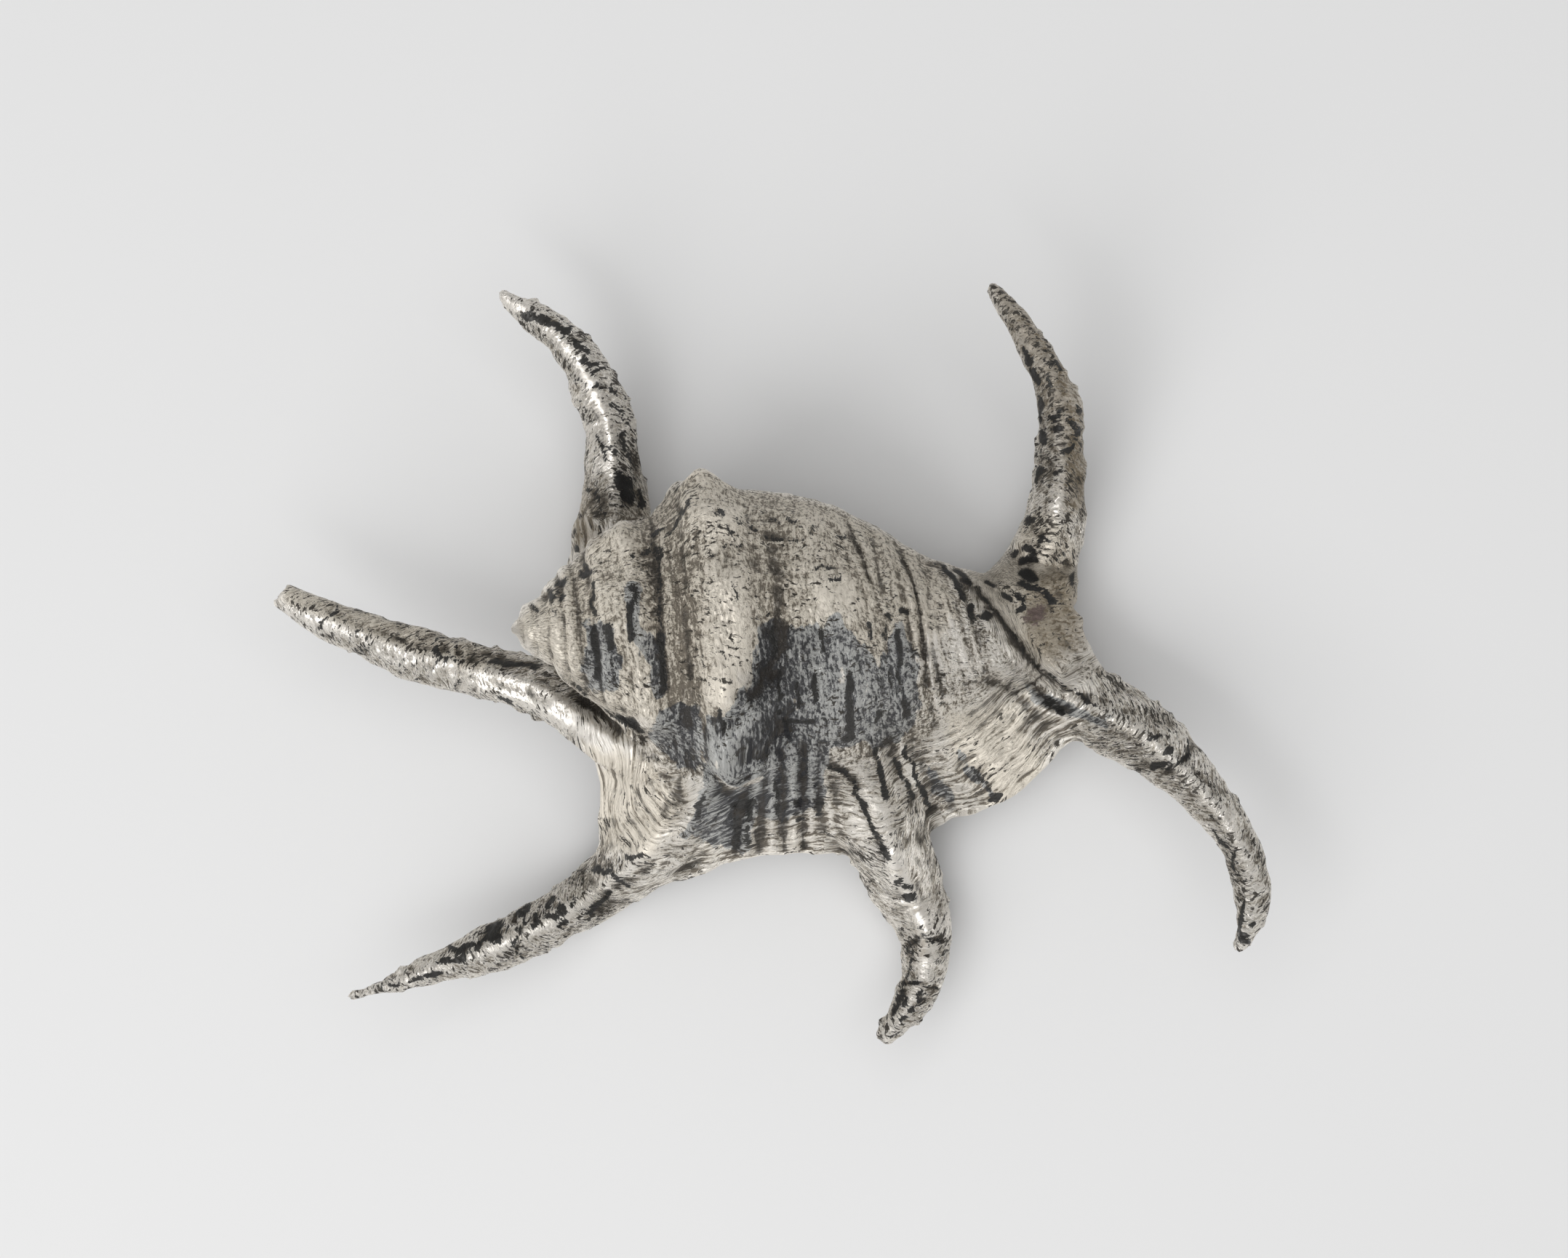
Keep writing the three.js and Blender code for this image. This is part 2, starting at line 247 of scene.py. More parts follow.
spread = np.linspace(0, len(LIP_FAN) - 1, FAN_LINES)
fan = np.stack([np.interp(spread, np.arange(len(LIP_FAN)), column) for column in LIP_FAN.T], 1)
margin, root = fan[:, :2], fan[:, 2:]
nearest = np.full(len(points), np.inf)
lip_root_x = np.zeros(len(points))
lip_share = np.zeros(len(points))
lip_depth = np.zeros(len(points))
for end, start in zip(margin, root):
    line = end - start
    share = (points[:, :2] - start) @ line / (line @ line)
    away = np.linalg.norm(points[:, :2] - start - np.clip(share, 0, 1)[:, None] * line, axis=1)
    closer = away < nearest
    nearest[closer] = away[closer]
    lip_root_x[closer] = start[0]
    lip_share[closer] = share[closer]
    lip_depth[closer] = (1 - share[closer]) * np.linalg.norm(line)

# The fan's lines are apart, so their measures are evened out along the skin.
for step in range(FAN_ROUNDS):
    lip_root_x = neighbour_mean(lip_root_x)
    lip_depth = neighbour_mean(lip_depth)

body_top = within([BODY_OUTLINE], 2) * on_top
on_lip = ramp(lip_share, 0.2, 0.5) * ramp(nearest, 8, 3) * (1 - body_top)
across = whorl_x * (1 - on_lip) + lip_root_x * on_lip
grown = (LIP_WIDTH + BODY_RADIUS * (LIP_ANGLE - angle)) * (1 - on_lip) + lip_depth * on_lip
print("lip:", round(100 * (on_lip > 0.5).mean()), "% of the points")

# %% [markdown]
# ## The digits
#
# A digit is a tube that the lip's edge curled into, so on it the old edges are rings and the cords run
# lengthwise. Each digit is measured from a curve through its middle: how far from the tip a point lies, how
# far round the tube, and how much it belongs to the digit at all.

# %% Measure the digits
# Each digit from tip to root: x, y, z and radius.
DIGITS = {
    "spire_digit": [
        (-118.6, 16.9, 36, 3.3), (-108.9, 11.4, 34.5, 4.8), (-94.3, 5.7, 31.5, 5.8),
        (-84.3, 1.8, 29.5, 6.7), (-70.5, -1.7, 27.5, 6.2), (-57, -5.6, 27, 7.2), (-46.6, -11.4, 28, 7.3),
        (-37.8, -18.6, 33, 7.6)
    ],
    "back_digit": [
        (-65.6, 90, 34, 1.4), (-55.5, 82.5, 31, 4), (-47.9, 75.4, 27, 5), (-43.4, 68.2, 22.5, 5.7),
        (-39.9, 57.3, 17, 6.5), (-38.6, 45.3, 12, 7.6), (-38.6, 35.5, 7.5, 9), (-40.4, 26.2, 10.5, 9.4)
    ],
    "corner_digit": [
        (-102.3, -80.3, 27, 1.4), (-86.1, -75.1, 24, 2.9), (-71.5, -69.7, 20, 5.4),
        (-61.1, -65.6, 16.5, 6.4), (-51.7, -60.8, 12.5, 6.4), (-41.8, -54, 6, 7.6), (-33, -46.7, 16, 9),
        (-24.2, -36.2, 30, 9)
    ],
    "lip_digit": [
        (26.5, -90.7, 21, 1.8), (32.4, -83.4, 17.5, 4.1), (36.4, -75.6, 14, 5.5), (37, -66.1, 10, 6.5),
        (34.5, -58.2, 7, 8.2), (30.9, -49.7, 10, 9.7), (26.3, -39.7, 18.5, 10.3), (21.4, -27.4, 31, 8.5)
    ],
    "front_digit": [
        (112.8, -68.8, 33, 1.5), (115.4, -59, 32, 3.9), (115.2, -50.4, 30.5, 5),
        (110.9, -40.2, 28.5, 5.2), (103.1, -29.8, 26, 6.1), (95.1, -21.7, 23.5, 8),
        (87.3, -15.7, 21, 8.9), (77.5, -10.2, 20, 9.3), (66.2, -4, 20, 8.6)
    ],
    "siphon_digit": [
        (52.1, 90.8, 44, 1.5), (59, 82.2, 41, 3.2), (66.8, 69, 36, 4.8), (69.5, 60.1, 31.5, 5.6),
        (69.4, 48.5, 25, 5.9), (68.5, 34.8, 17.5, 7.8), (65.7, 26.2, 11, 9), (62.8, 18.3, 9.8, 11.6)
    ],
}
DIGIT_SAMPLES = 80
DIGIT_ROUNDS = 12
ROOT_FADE = 22
FAR_FROM_TIP = 200.0

from_tip = np.full(len(points), FAR_FROM_TIP)
round_digit = np.zeros(len(points))
on_digit = np.zeros(len(points))
digit_angle = np.zeros(len(points))
digit_number = np.full(len(points), -1)
for number, (name, table) in enumerate(DIGITS.items()):
    knots = np.array(table, float)
    spread = np.linspace(0, len(knots) - 1, DIGIT_SAMPLES)
    middle = np.stack([np.interp(spread, np.arange(len(knots)), column) for column in knots.T], 1)
    for smoothing in range(DIGIT_ROUNDS):
        middle[1:-1] = (middle[:-2] + 2 * middle[1:-1] + middle[2:]) / 4
    tangent = np.gradient(middle[:, :3], axis=0)
    length = np.concatenate([[0], np.cumsum(np.linalg.norm(np.diff(middle[:, :3], axis=0), axis=1))])
    tangent /= np.linalg.norm(tangent, axis=1, keepdims=True)
    squared = (points ** 2).sum(1)[:, None] - 2 * points @ middle[:, :3].T
    squared += (middle[:, :3] ** 2).sum(1)
    near = squared.argmin(1)
    apart = points - middle[near, :3]
    ahead = (apart * tangent[near]).sum(1)
    sideways = np.stack([-tangent[near, 1], tangent[near, 0], np.zeros(len(points))], 1)
    sideways /= np.linalg.norm(sideways, axis=1, keepdims=True)
    upward = np.cross(tangent[near], sideways)
    radius = middle[near, 3]
    reach = np.sqrt(np.maximum(squared[np.arange(len(points)), near] - ahead ** 2, 0)) / radius
    belongs = ramp(reach, 1.7, 1.25) * ramp(length[-1] - length[near], 2, ROOT_FADE)
    closer = belongs > on_digit
    turn = np.arctan2((apart * sideways).sum(1), (apart * upward).sum(1))
    from_tip[closer] = (length[near] + ahead)[closer]
    round_digit[closer] = (turn * radius)[closer]
    digit_angle[closer] = turn[closer]
    digit_number[closer] = number
    on_digit[closer] = belongs[closer]
    print(name, round(length[-1]), "mm long,", int(closer.sum()), "points")

# %% [markdown]
# ## Folds, knobs and grooves
#
# The folds that make this one shell and no other are drawn as strokes over the back of the shell: the
# tongues of the shoulder knobs with the valleys between them, the crevice beside the spire, the ridges that
# run out into the digits, the groove of the siphon and the rings where a digit paused in its growth. A
# stroke lifts or sinks the surface along a line, with a width for each of its two sides, so a fold can be
# steep on one side and gentle on the other. Strokes only reach what is seen from above.

# %% Draw the strokes
# name: height, width on the left of the line, width on its right, then x and y of each point, in millimetres
STROKES = {
    "first knob's boss": (4.0, 5.0, 5.0, -13.5, 37.5, -10.5, 35.5),
    "ramp": (-2.6, 4.0, 4.5, -22, 44, -21, 25, -20.5, 5, -20, -12),
    "saddle": (-1.4, 5.0, 5.0, 3, 38, 0.5, 24, 0.8, 12, 3, -2, 4, -14),
    "dome": (3.0, 13.0, 13.0, 15, 26, 19, 10, 20, -2),
    "second knob's tongue": (4.2, 5.5, 4.5, -9.5, 20, -7.5, 10.2, -8.3, 1.8, -11.1, -7.4),
    "head of the second valley": (-1.4, 3.0, 4.0, 1.5, 9.0, 0.5, 3.0, -1.0, -1.0),
    "second knob's valley": (-3.8, 3.0, 4.2, -1.0, -2.0, -4.0, -6.0, -9.3, -12.3),
    "third knob's tongue": (4.4, 4.0, 4.0, -6.5, -12, -11.0, -19.0, -13.0, -25.0),
    "third knob's valley": (-4.2, 3.2, 4.4, 1.5, -15, -4.7, -22.1, -11, -28.8),
    "shoulder edge": (1.3, 5.0, 2.0, -13.5, 34, -14.9, 22.1, -14.6, 10.2, -14.7, -1.1, -13.9, -8.1),
    "spire knob": (1.4, 3.5, 3.5, -37.5, 31, -35.5, 28),
    "crevice": (-5.0, 2.0, 1.8, -47.3, -4.6, -45.5, -8.1, -42.7, -10.9, -37.8, -11.6, -34.3, -13.4,
        -30.7, -16.5),
    "fold of the spire digit": (2.2, 2.6, 4.0, -53.2, -10.2, -47.6, -13, -42.7, -15.1, -35.7, -19.3,
        -28.6, -24.2, -21.6, -27.1, -15.3, -28.5),
    "pocket": (-2.4, 2.2, 3.5, -29.3, -22.8, -23.7, -28.5, -22.7, -32.7, -24.4, -36.9),
    "corner ridge": (3.0, 2.0, 4.0, -15.3, -28.5, -18.1, -33.4, -22.3, -39.7, -27.2, -43.2, -34.3, -47.4),
    "corner valley": (-2.6, 4.5, 4.0, -9.4, -30.9, -11.2, -36.2, -15.5, -41, -21, -45),
    "first rib": (1.6, 1.2, 1.2, -3, -25, -5, -34, -6.5, -45),
    "second rib": (1.5, 1.2, 1.2, 0, -22, -0.3, -32, -0.5, -44),
    "third rib": (1.9, 1.2, 1.3, 5, -20, 5, -31, 5.6, -47),
    "fourth rib": (1.4, 1.1, 1.1, 9.5, -20, 9.3, -30, 9, -42),
    "fifth rib": (1.2, 1.1, 1.1, 12, -25, 13, -31, 14.5, -40),
    "furrow before the first rib": (-1.3, 1.3, 1.3, -6, -27, -8, -36, -9.3, -45),
    "furrow before the second rib": (-1.0, 1.2, 1.2, -2, -26, -3, -35, -3.8, -45),
    "furrow before the third rib": (-1.1, 1.3, 1.3, 2, -21, 2.3, -32, 2.6, -45),
    "furrow before the fourth rib": (-1.1, 1.2, 1.2, 7.3, -21, 7.2, -31, 7.2, -44),
    "streak of the lip digit": (-1.0, 1.0, 1.0, 14.2, -23.5, 19.2, -27.8, 22.7, -35.5, 25.5, -42.5,
        27.6, -46.7),
    "ridge of the lip digit": (1.8, 3.0, 3.5, 21.3, -25.7, 26.2, -35.5, 29.7, -44.6),
    "first lip fold": (1.2, 1.4, 1.4, 25.5, -21.4, 29.7, -29.2, 33.6, -37.6),
    "second lip fold": (1.5, 1.2, 1.4, 30.4, -17.9, 33.9, -24.9, 38.1, -33.4),
    "groove beside the lip fold": (-1.4, 1.3, 1.2, 32.2, -21.4, 35.7, -28.5, 38.8, -34.8),
    "foot of the body": (-1.2, 3.0, 3.5, 8.6, -19.3, 17, -20.4, 25.5, -19.7, 32.5, -17.2, 38.1, -13.7),
    "first cord": (1.3, 0.8, 0.8, 13, 39, 17, 32, 19.5, 26, 22, 20, 24, 15),
    "second cord": (1.3, 0.8, 0.8, 16.5, 38, 20, 32.5, 22.5, 27, 24, 21, 27, 13),
    "furrow of the cords": (-0.9, 0.8, 0.8, 15, 38.5, 18.5, 32, 21, 26, 23, 20),
    "third cord": (1.4, 0.9, 0.9, 29, 28, 32, 21, 33.5, 13, 34.5, 5, 35.5, -4),
    "fourth cord": (1.4, 0.9, 0.9, 32, 27, 35, 19, 36.7, 11, 37.7, 2, 38.5, -6),
    "furrow of the siphon cords": (-0.9, 0.8, 0.8, 30.5, 27.5, 33.6, 20, 35.2, 12, 36.2, 4, 37, -5),
    "siphon groove": (-1.7, 1.5, 1.8, 39.1, 24, 45.7, 20.5, 51.2, 15.5, 55.7, 9.5, 59.7, 4, 64.7, -2.1,
        69.8, -6.1, 75.3, -8.1),
    "siphon edge": (1.3, 1.0, 1.2, 61.7, -5.6, 63.7, -9.1, 67.2, -12.1, 70.8, -12.6),
    "siphon pocket": (-1.6, 1.6, 1.6, 62.7, -5.1, 66.2, -8.6, 70.8, -10.6),
    "siphon ridge": (1.6, 2.6, 2.6, 52.2, 1.5, 57.2, -2.6, 62.7, -7.6),
    "lip ledge": (1.0, 1.0, 3.0, 43.1, -7.1, 48.7, -5.6, 54.7, -6.1, 59.7, -10.6),
    "upper ring of the lip digit": (-0.9, 0.8, 0.9, 30.6, -68.4, 36.2, -66.4, 43.4, -66.9),
    "lower ring of the lip digit": (-1.0, 0.8, 0.9, 30.2, -76.9, 35.4, -77.6, 41, -79),
    "ring of the front digit": (-0.9, 0.8, 0.9, 93.4, -27, 99.3, -23.3, 102, -19),
    "crest of the spire digit": (0.7, 1.6, 1.6, -117, 14, -105.8, 8.4, -93.8, 2, -83.4, -1.2,
        -70.6, -4.4, -61.1, -8.4, -49.9, -14.8),
    "crack of the spire digit": (-0.6, 0.6, 0.6, -105.8, 13.6, -108.6, 9.8),
    "ring of the corner digit": (-0.9, 0.8, 0.8, -63.4, -59, -60.9, -64.3, -62.7, -70.4),
    "fold of the corner digit": (1.1, 0.8, 2.0, -43.9, -49.5, -38.7, -50.7, -35.1, -53.5),
}


def stroke_profile(line, left, right, places):
    """How near each place is to a line of x and y in turn, from 0 to 1, with soft ends."""
    line = np.reshape(line, (-1, 2))
    best = np.full(len(points), np.inf)
    side = np.zeros(len(points))
    for start, end in zip(line[:-1], line[1:]):
        run = end - start
        apart = places - start
        share = np.clip(apart @ run / (run @ run), 0, 1)
        away = apart - share[:, None] * run
        distance = np.linalg.norm(away, axis=1)
        closer = distance < best
        best[closer] = distance[closer]
        side[closer] = (run[0] * apart[:, 1] - run[1] * apart[:, 0])[closer]
    return np.exp(-(best / np.where(side > 0, left, right)) ** 2)


NARROW = 5
FULL_DEPTH = 2

carved = np.zeros(len(points))
# Narrow carved grooves are kept for the material, which darkens them partly as painted shade.
groove = np.zeros(len(points))
for height, left, right, *line in STROKES.values():
    near = stroke_profile(line, left, right, points[:, :2]) * on_top
    carved += height * near
    if height < 0 and left + right < NARROW:
        groove = np.maximum(groove, near * min(1, -height / FULL_DEPTH))
points[:, 2] = np.maximum(points[:, 2] + carved, 0)
normals = facing(points)
print(len(STROKES), "strokes, from", round(carved.min(), 1), "to", round(carved.max(), 1), "mm")

# %% [markdown]
# ## Cords, ribs and growth lines
#
# Cords are ridges along lines of equal `across`, and growth lines are ridges along lines of equal `grown`.
# Neither is even on a real shell: each line is thick here and thin there, and fades out. So they are made
# from the same soft lumps, drawn out long along a cord or along an old edge. On the lip the cords become
# ribs that scallop the margin. On the digits there are rings, long furrows and warts. The spire has its
# sutures and small knobs, and a few barnacle scars and spurs have places of their own. All heights are in
# millimetres.

# %% Grow the relief
CORD_SPACING = 6.6
RIB_SPACING = 5.5
CORD_HEIGHT = 0.16
FINE_CORD_HEIGHT = 0.3
WIDE_CORD_HEIGHT = 0.14
OLD_EDGE_HEIGHT = 0.3
RIB_HEIGHT = 0.3
LIP_EDGE_HEIGHT = 0.42
RING_HEIGHT = 0.32
FURROW_HEIGHT = 0.26
WART_HEIGHT = 0.9
CREST_HEIGHT = 0.7
SEAM_DEPTH = 0.9
KNOB_HEIGHT = 0.55

wander = lumps(points, 14, 1) + 0.5 * lumps(points, 6, 2)
patchy = 0.5 + 0.5 * lumps(points, 11, 3)
on_body = (1 - on_lip) * (1 - on_digit)


def drawn_out(first, first_size, second, second_size, seed):
    """Soft lumps with a size of their own in each of two directions."""
    return lumps(np.stack([first / first_size, second / second_size, np.zeros(len(points))], 1), 1.0, seed)


cord_wave = np.cos(2 * math.pi * (across + 0.8 * wander) / CORD_SPACING)
rib_wave = np.cos(2 * math.pi * (lip_root_x + 0.7 * wander) / RIB_SPACING)
cords = drawn_out(across + 0.5 * wander, 1.5, grown, 22, 10)
edges_of_old = drawn_out(across, 9, grown + 1.5 * wander, 1.7, 11)
digit_grown = from_tip - 1.1 * np.hypot(round_digit, 2)
rings = drawn_out(round_digit, 7, digit_grown + 1.2 * wander, 1.7, 12)
furrows = drawn_out(round_digit, 1.9, from_tip, 11, 13)

siphon_part = ramp(whorl_x, 22, 36)
fine_cords = body_top * np.maximum(siphon_part, ramp(whorl_x, -29, -25) * ramp(whorl_x, -13, -16))
lift = on_body * ramp(whorl_x, -60, -50) * ramp(whorl_x, 64, 50) * (
    cords * (CORD_HEIGHT + FINE_CORD_HEIGHT * fine_cords)
    + (WIDE_CORD_HEIGHT * cord_wave + OLD_EDGE_HEIGHT * edges_of_old) * patchy)
lift += on_lip * (1 - on_digit) * ramp(points[:, 2], 2, 8) * (
    RIB_HEIGHT * rib_wave * patchy + LIP_EDGE_HEIGHT * edges_of_old)
lift += on_digit * (RING_HEIGHT * rings + FURROW_HEIGHT * furrows)
lift += on_digit * (0.6 * lumps(points, 6, 5) + 0.3 * lumps(points, 3, 14))
lift += on_digit * WART_HEIGHT * ramp(lumps(points, 3.2, 15), 0.5, 0.9)
lift += on_digit * CREST_HEIGHT * np.exp(-(round_digit / 1.4) ** 2)
lift -= on_digit * SEAM_DEPTH * np.exp(-((abs(digit_angle) - math.pi) / 0.3) ** 2)
lift += 0.4 * lumps(points, 9, 6) + 0.16 * lumps(points, 2.4, 7)

# Sutures round the spire: x, depth and half width; each whorl swells a little before its suture
SUTURES = [
    (-60.5, 0.4, 0.6), (-57.5, 0.5, 0.7), (-54, 0.6, 0.8), (-50.5, 0.6, 0.8), (-46.8, 0.5, 0.8),
    (-43.0, 0.5, 0.8), (-35, 0.25, 0.9), (-26.4, 0.35, 0.6)
]
for x, depth, width in SUTURES:
    away = whorl_x + 0.6 * wander - x
    lift += on_body * depth * (0.8 * np.exp(-((away - 2.2) / 1.4) ** 2) - np.exp(-(away / width) ** 2))
on_spire = on_body * ramp(whorl_x, -30, -38)
lift += on_spire * KNOB_HEIGHT * lumps(points, 3.6, 16)

# Barnacle scars and warts: x, y, radius and height
SCARS = [
    (-99.6, 5.6, 1.8, 0.6), (-87.3, -0.8, 2.0, 0.6), (-79.3, -2.6, 2.8, 0.7), (-79.4, 3.6, 2.0, 0.7),
    (-76.0, 2.8, 1.7, 0.7), (-62.7, -62.1, 1.6, 0.9), (71.3, 24.6, 2.0, 0.7), (-47.2, 66.8, 1.6, 0.4),
    (66.8, 73.6, 1.0, 0.5)
]
scar_edge = np.zeros(len(points))
for x, y, radius, height in SCARS:
    away = np.hypot(points[:, 0] - x, points[:, 1] - y)
    rim = np.exp(-((away - radius) / 0.8) ** 2)
    pit = 0.7 * np.exp(-(away / (0.6 * radius)) ** 2)
    lift += on_top * height * (rim - pit)
    scar_edge = np.maximum(scar_edge, on_top * np.exp(-((away - radius - 0.8) / 0.6) ** 2))

# Spurs on the outline: x, y, z, radius and height
SPURS = [
    (75.5, 11.2, 18, 2.0, 2.4), (-61.1, -11.2, 24, 1.6, 1.2), (-55.5, -2, 30, 2, 0.8),
    (-58.6, 13.6, 45, 1.6, 1.0), (-54.6, 17, 45, 2.0, 1.4), (-50.2, 20.5, 44, 2.0, 1.3),
    (-45.4, 25.5, 43, 2.4, 1.4), (-59.6, 5, 44, 1.5, 0.9), (-56, 2.4, 43, 1.6, 0.8)
]
for x, y, z, radius, height in SPURS:
    away = np.linalg.norm(points - (x, y, z), axis=1)
    lift += height * np.exp(-(away / radius) ** 2)

# The broken end of the spire digit has a jagged rim.
BREAK_WAY = np.array([-0.862, 0.489, 0.133])
JAG_HEIGHT = 1.4
past_break = (points - BROKEN_TIP) @ BREAK_WAY
jag = JAG_HEIGHT * lumps(points, 2.0, 31) * (1 - keep_open) * ramp(past_break, -4, -0.5)
points += jag[:, None] * BREAK_WAY

points += normals * (lift * keep_open)[:, None]
points[:, 2] = np.maximum(points[:, 2], 0)
print("relief from", round(lift.min(), 2), "to", round(lift.max(), 2), "mm")

# %% [markdown]
# ## Hollows
#
# Silver tarnishes where no hand or cloth reaches. Comparing each point with the average of its
# surroundings, near and far, tells hollows from crests. The material uses the near measures to darken small
# hollows with tarnish and polish crests. It uses the far measure, over broad valleys and crests, for painted
# shade in the valleys and painted light on the crests.

# %% Measure the hollows
normals = facing(points)


def hollow_of(rounds):
    """How deep each point lies under the mean of its surroundings, in millimetres."""
    mean = points
    for step in range(rounds):
        mean = neighbour_mean(mean)
    return ((mean - points) * normals).sum(1)


wrinkle = np.clip(hollow_of(3) / 0.12, -1, 1)
fold = np.clip(hollow_of(16) / 0.6, -1, 1)
hollow = 0.6 * wrinkle + 0.3 * fold
# Broad valleys and crests: the material paints shade into the one and light onto the other.
valley = np.clip(hollow_of(60) / 2.0, -1, 1)
print("hollow from", round(hollow.min(), 2), "to", round(hollow.max(), 2))

# %% [markdown]
# ## Where the silver has aged
#
# The skin has not aged evenly. The upper body and the spire are dull and chalky, cream in colour. The lower
# body, the wing below it and a few patches on the spire carry a blue-grey patina, deepest in the valley.
# The ends of some digits are dull, and one is tanned. Soot sits by the siphon and at the roots of two
# digits; in the siphon groove and where the digits meet the body it is partly painted shade. Pale areas
# are partly rubbed silver and partly painted highlights on the digits, the knobs and the dome. Each area is
# a drawn outline in millimetres with a soft edge. The material breaks that edge up into ragged flakes.

# %% Draw the aged areas
PATINA = [
    [(-4, 9), (0, 11), (5, 8.5), (9, 10), (12, 7), (15, 12.5), (17, 10), (21, 5), (25, 0), (27, 3),
     (29, 10), (31, 10), (33, 5), (35, 0), (35.5, -9), (33, -17), (25, -19), (14, -20), (13, -24),
     (11.5, -34), (5, -37), (-3, -37), (-7, -45), (-14, -44), (-22, -41), (-20, -37.6), (-16.7, -29.2),
     (-17, -25.7), (-16.5, -12.5), (-11.1, -11.6), (-4.5, -3)],
    [(-45.5, 9.5), (-38, 9.5), (-36, 2), (-37, -6), (-44.5, -6)],
    [(-35, 19.5), (-31.5, 18.5), (-32, 10), (-27.5, 7), (-25.8, 8), (-25.8, -8.5), (-27.5, -8), (-33, 5),
     (-34.7, 9)],
    [(-26, -9), (-17, -9), (-17, -24), (-22, -26), (-30, -17)],
    [(37, -24), (40, -27), (44, -33), (38.5, -31)],
    [(45, -20.5), (49.5, -25.5), (53.5, -32), (47, -27)],
    [(62, -5.5), (70, -9), (81, -13), (81, -14.5), (70, -12.5), (63, -8.5)],
]
DEEP = [
    [(-3, 8), (4, 8), (10, 4), (12, -18), (0, -20), (-10, -28), (-6, -20), (-10, -12), (-5, -5)],
]
DULL = [
    [(-104, -78), (-96, -75), (-78, -66), (-66, -60), (-70, -68), (-84, -74), (-100, -82)],
    [(49, 93), (58, 90), (70, 74), (76, 62), (78, 38), (66, 44), (60, 60), (57, 78)],
    [(108, -48), (122, -44), (122, -64), (112, -72), (109, -62)],
    [(24, -92), (33, -90), (41, -79), (30, -77)],
    [(-48, 30), (-44, 50), (-38, 50), (-30, 54), (-28, 36), (-36, 34)],
    [(-70, 3), (-57, 1), (-52, -4), (-60, -3), (-70, -1.5)],
    [(-26, 34), (-15.5, 33), (-15, -10), (-25, -8)],
]
# Pale areas: rubbed silver, and painted highlights where the knobs, the dome and the digits catch the light
PALE_AND_HIGHLIGHT = [
    [(-44, -20), (-40, -18), (-29, -25), (-24, -32), (-26, -40), (-34, -46), (-42, -42)],
    [(40, -10), (50, -8), (60, -12), (64, -24), (56, -32), (47, -24), (38, -20)],
    [(34, 20), (38, 18), (46, 4), (52, -2), (44, -4), (36, 4)],
    [(10, 20), (20, 20), (22, 12), (16, 11), (10, 11)],
    [(-14, 19), (-9, 19), (-5, 6), (-4, 1), (-6, -3), (-11, -10), (-14.5, -8)],
    [(-17, 39), (-8, 38), (-5, 30), (-14, 30)],
    [(-62, 9), (-58, 11), (-48, 9), (-49, 0), (-57, 2)],
    [(20, -40), (30, -46), (34, -58), (44, -60), (41, -66), (31, -66), (24, -50)],
    [(-76, -1), (-58, -4), (-44, -12), (-46, -18), (-60, -13), (-76, -8)],
    [(-48, 76), (-42, 74), (-36, 60), (-35, 46), (-44, 46), (-47, 56)],
]
CHALK = [
    [(-62, 9), (-50, 22), (-34, 37), (-20, 48), (-8, 44), (10, 42), (26, 33), (40, 24), (44, 12), (36, 4),
     (20, 0), (-6, -2), (-14, -24), (-28, -14), (-44, -8)],
    [(-119, 20), (-104, 16), (-90, 11), (-78, 6), (-68, 3), (-70, -1), (-84, 3), (-98, 7.5), (-106, 10.5),
     (-117, 15)],
    [(48, 22), (58, 24), (60, 33), (66, 36), (73, 28), (72, 18), (66, 4), (58, 8)],
    [(42, -12), (58, -12), (64, -26), (56, -34), (47, -24)],
    [(-44, -22), (-30, -25), (-25, -34), (-30, -44), (-42, -44)],
]
# Soot by the siphon and on two digits; in the siphon groove and where the digits meet the body it is partly
# painted shade.
SOOT_AND_SHADE = [
    [(38, 25.5), (44, 23.5), (52, 20), (50, 12), (46, 12), (42, 19)],
    [(57, 30), (66, 30), (69, 22), (66, 14), (58, 16)],
    [(-41, 48), (-33, 48), (-31, 37), (-38, 36)],
    [(62, 62), (70, 62), (70, 54), (63, 52)],
]
TAN = [
    [(50, 94), (58, 91), (70, 75), (77, 62), (78, 36), (70, 36), (68, 56), (62, 70), (56, 80)],
    [(60, 20), (72, 26), (76, 14), (76, 4), (66, -2), (60, 6)],
    [(-50, 34), (-46, 46), (-44, 34), (-40, 30), (-48, 26)],
]
patina = within(PATINA, 3) * on_top
tan = within(TAN, 4)
# Pale: rubbed silver and painted highlight, lowered in the deep patina
pale_and_highlight = within(PALE_AND_HIGHLIGHT, 3) * on_top - 0.35 * within(DEEP, 5) * on_top
dull = within(DULL, 6)
chalk = within(CHALK, 5) * on_top
# Soot, partly painted shade by the siphon groove and at two digit roots
soot_and_shade = within(SOOT_AND_SHADE, 4) * on_top
print("patina on", round(100 * (patina > 0.5).mean()), "% of the points")
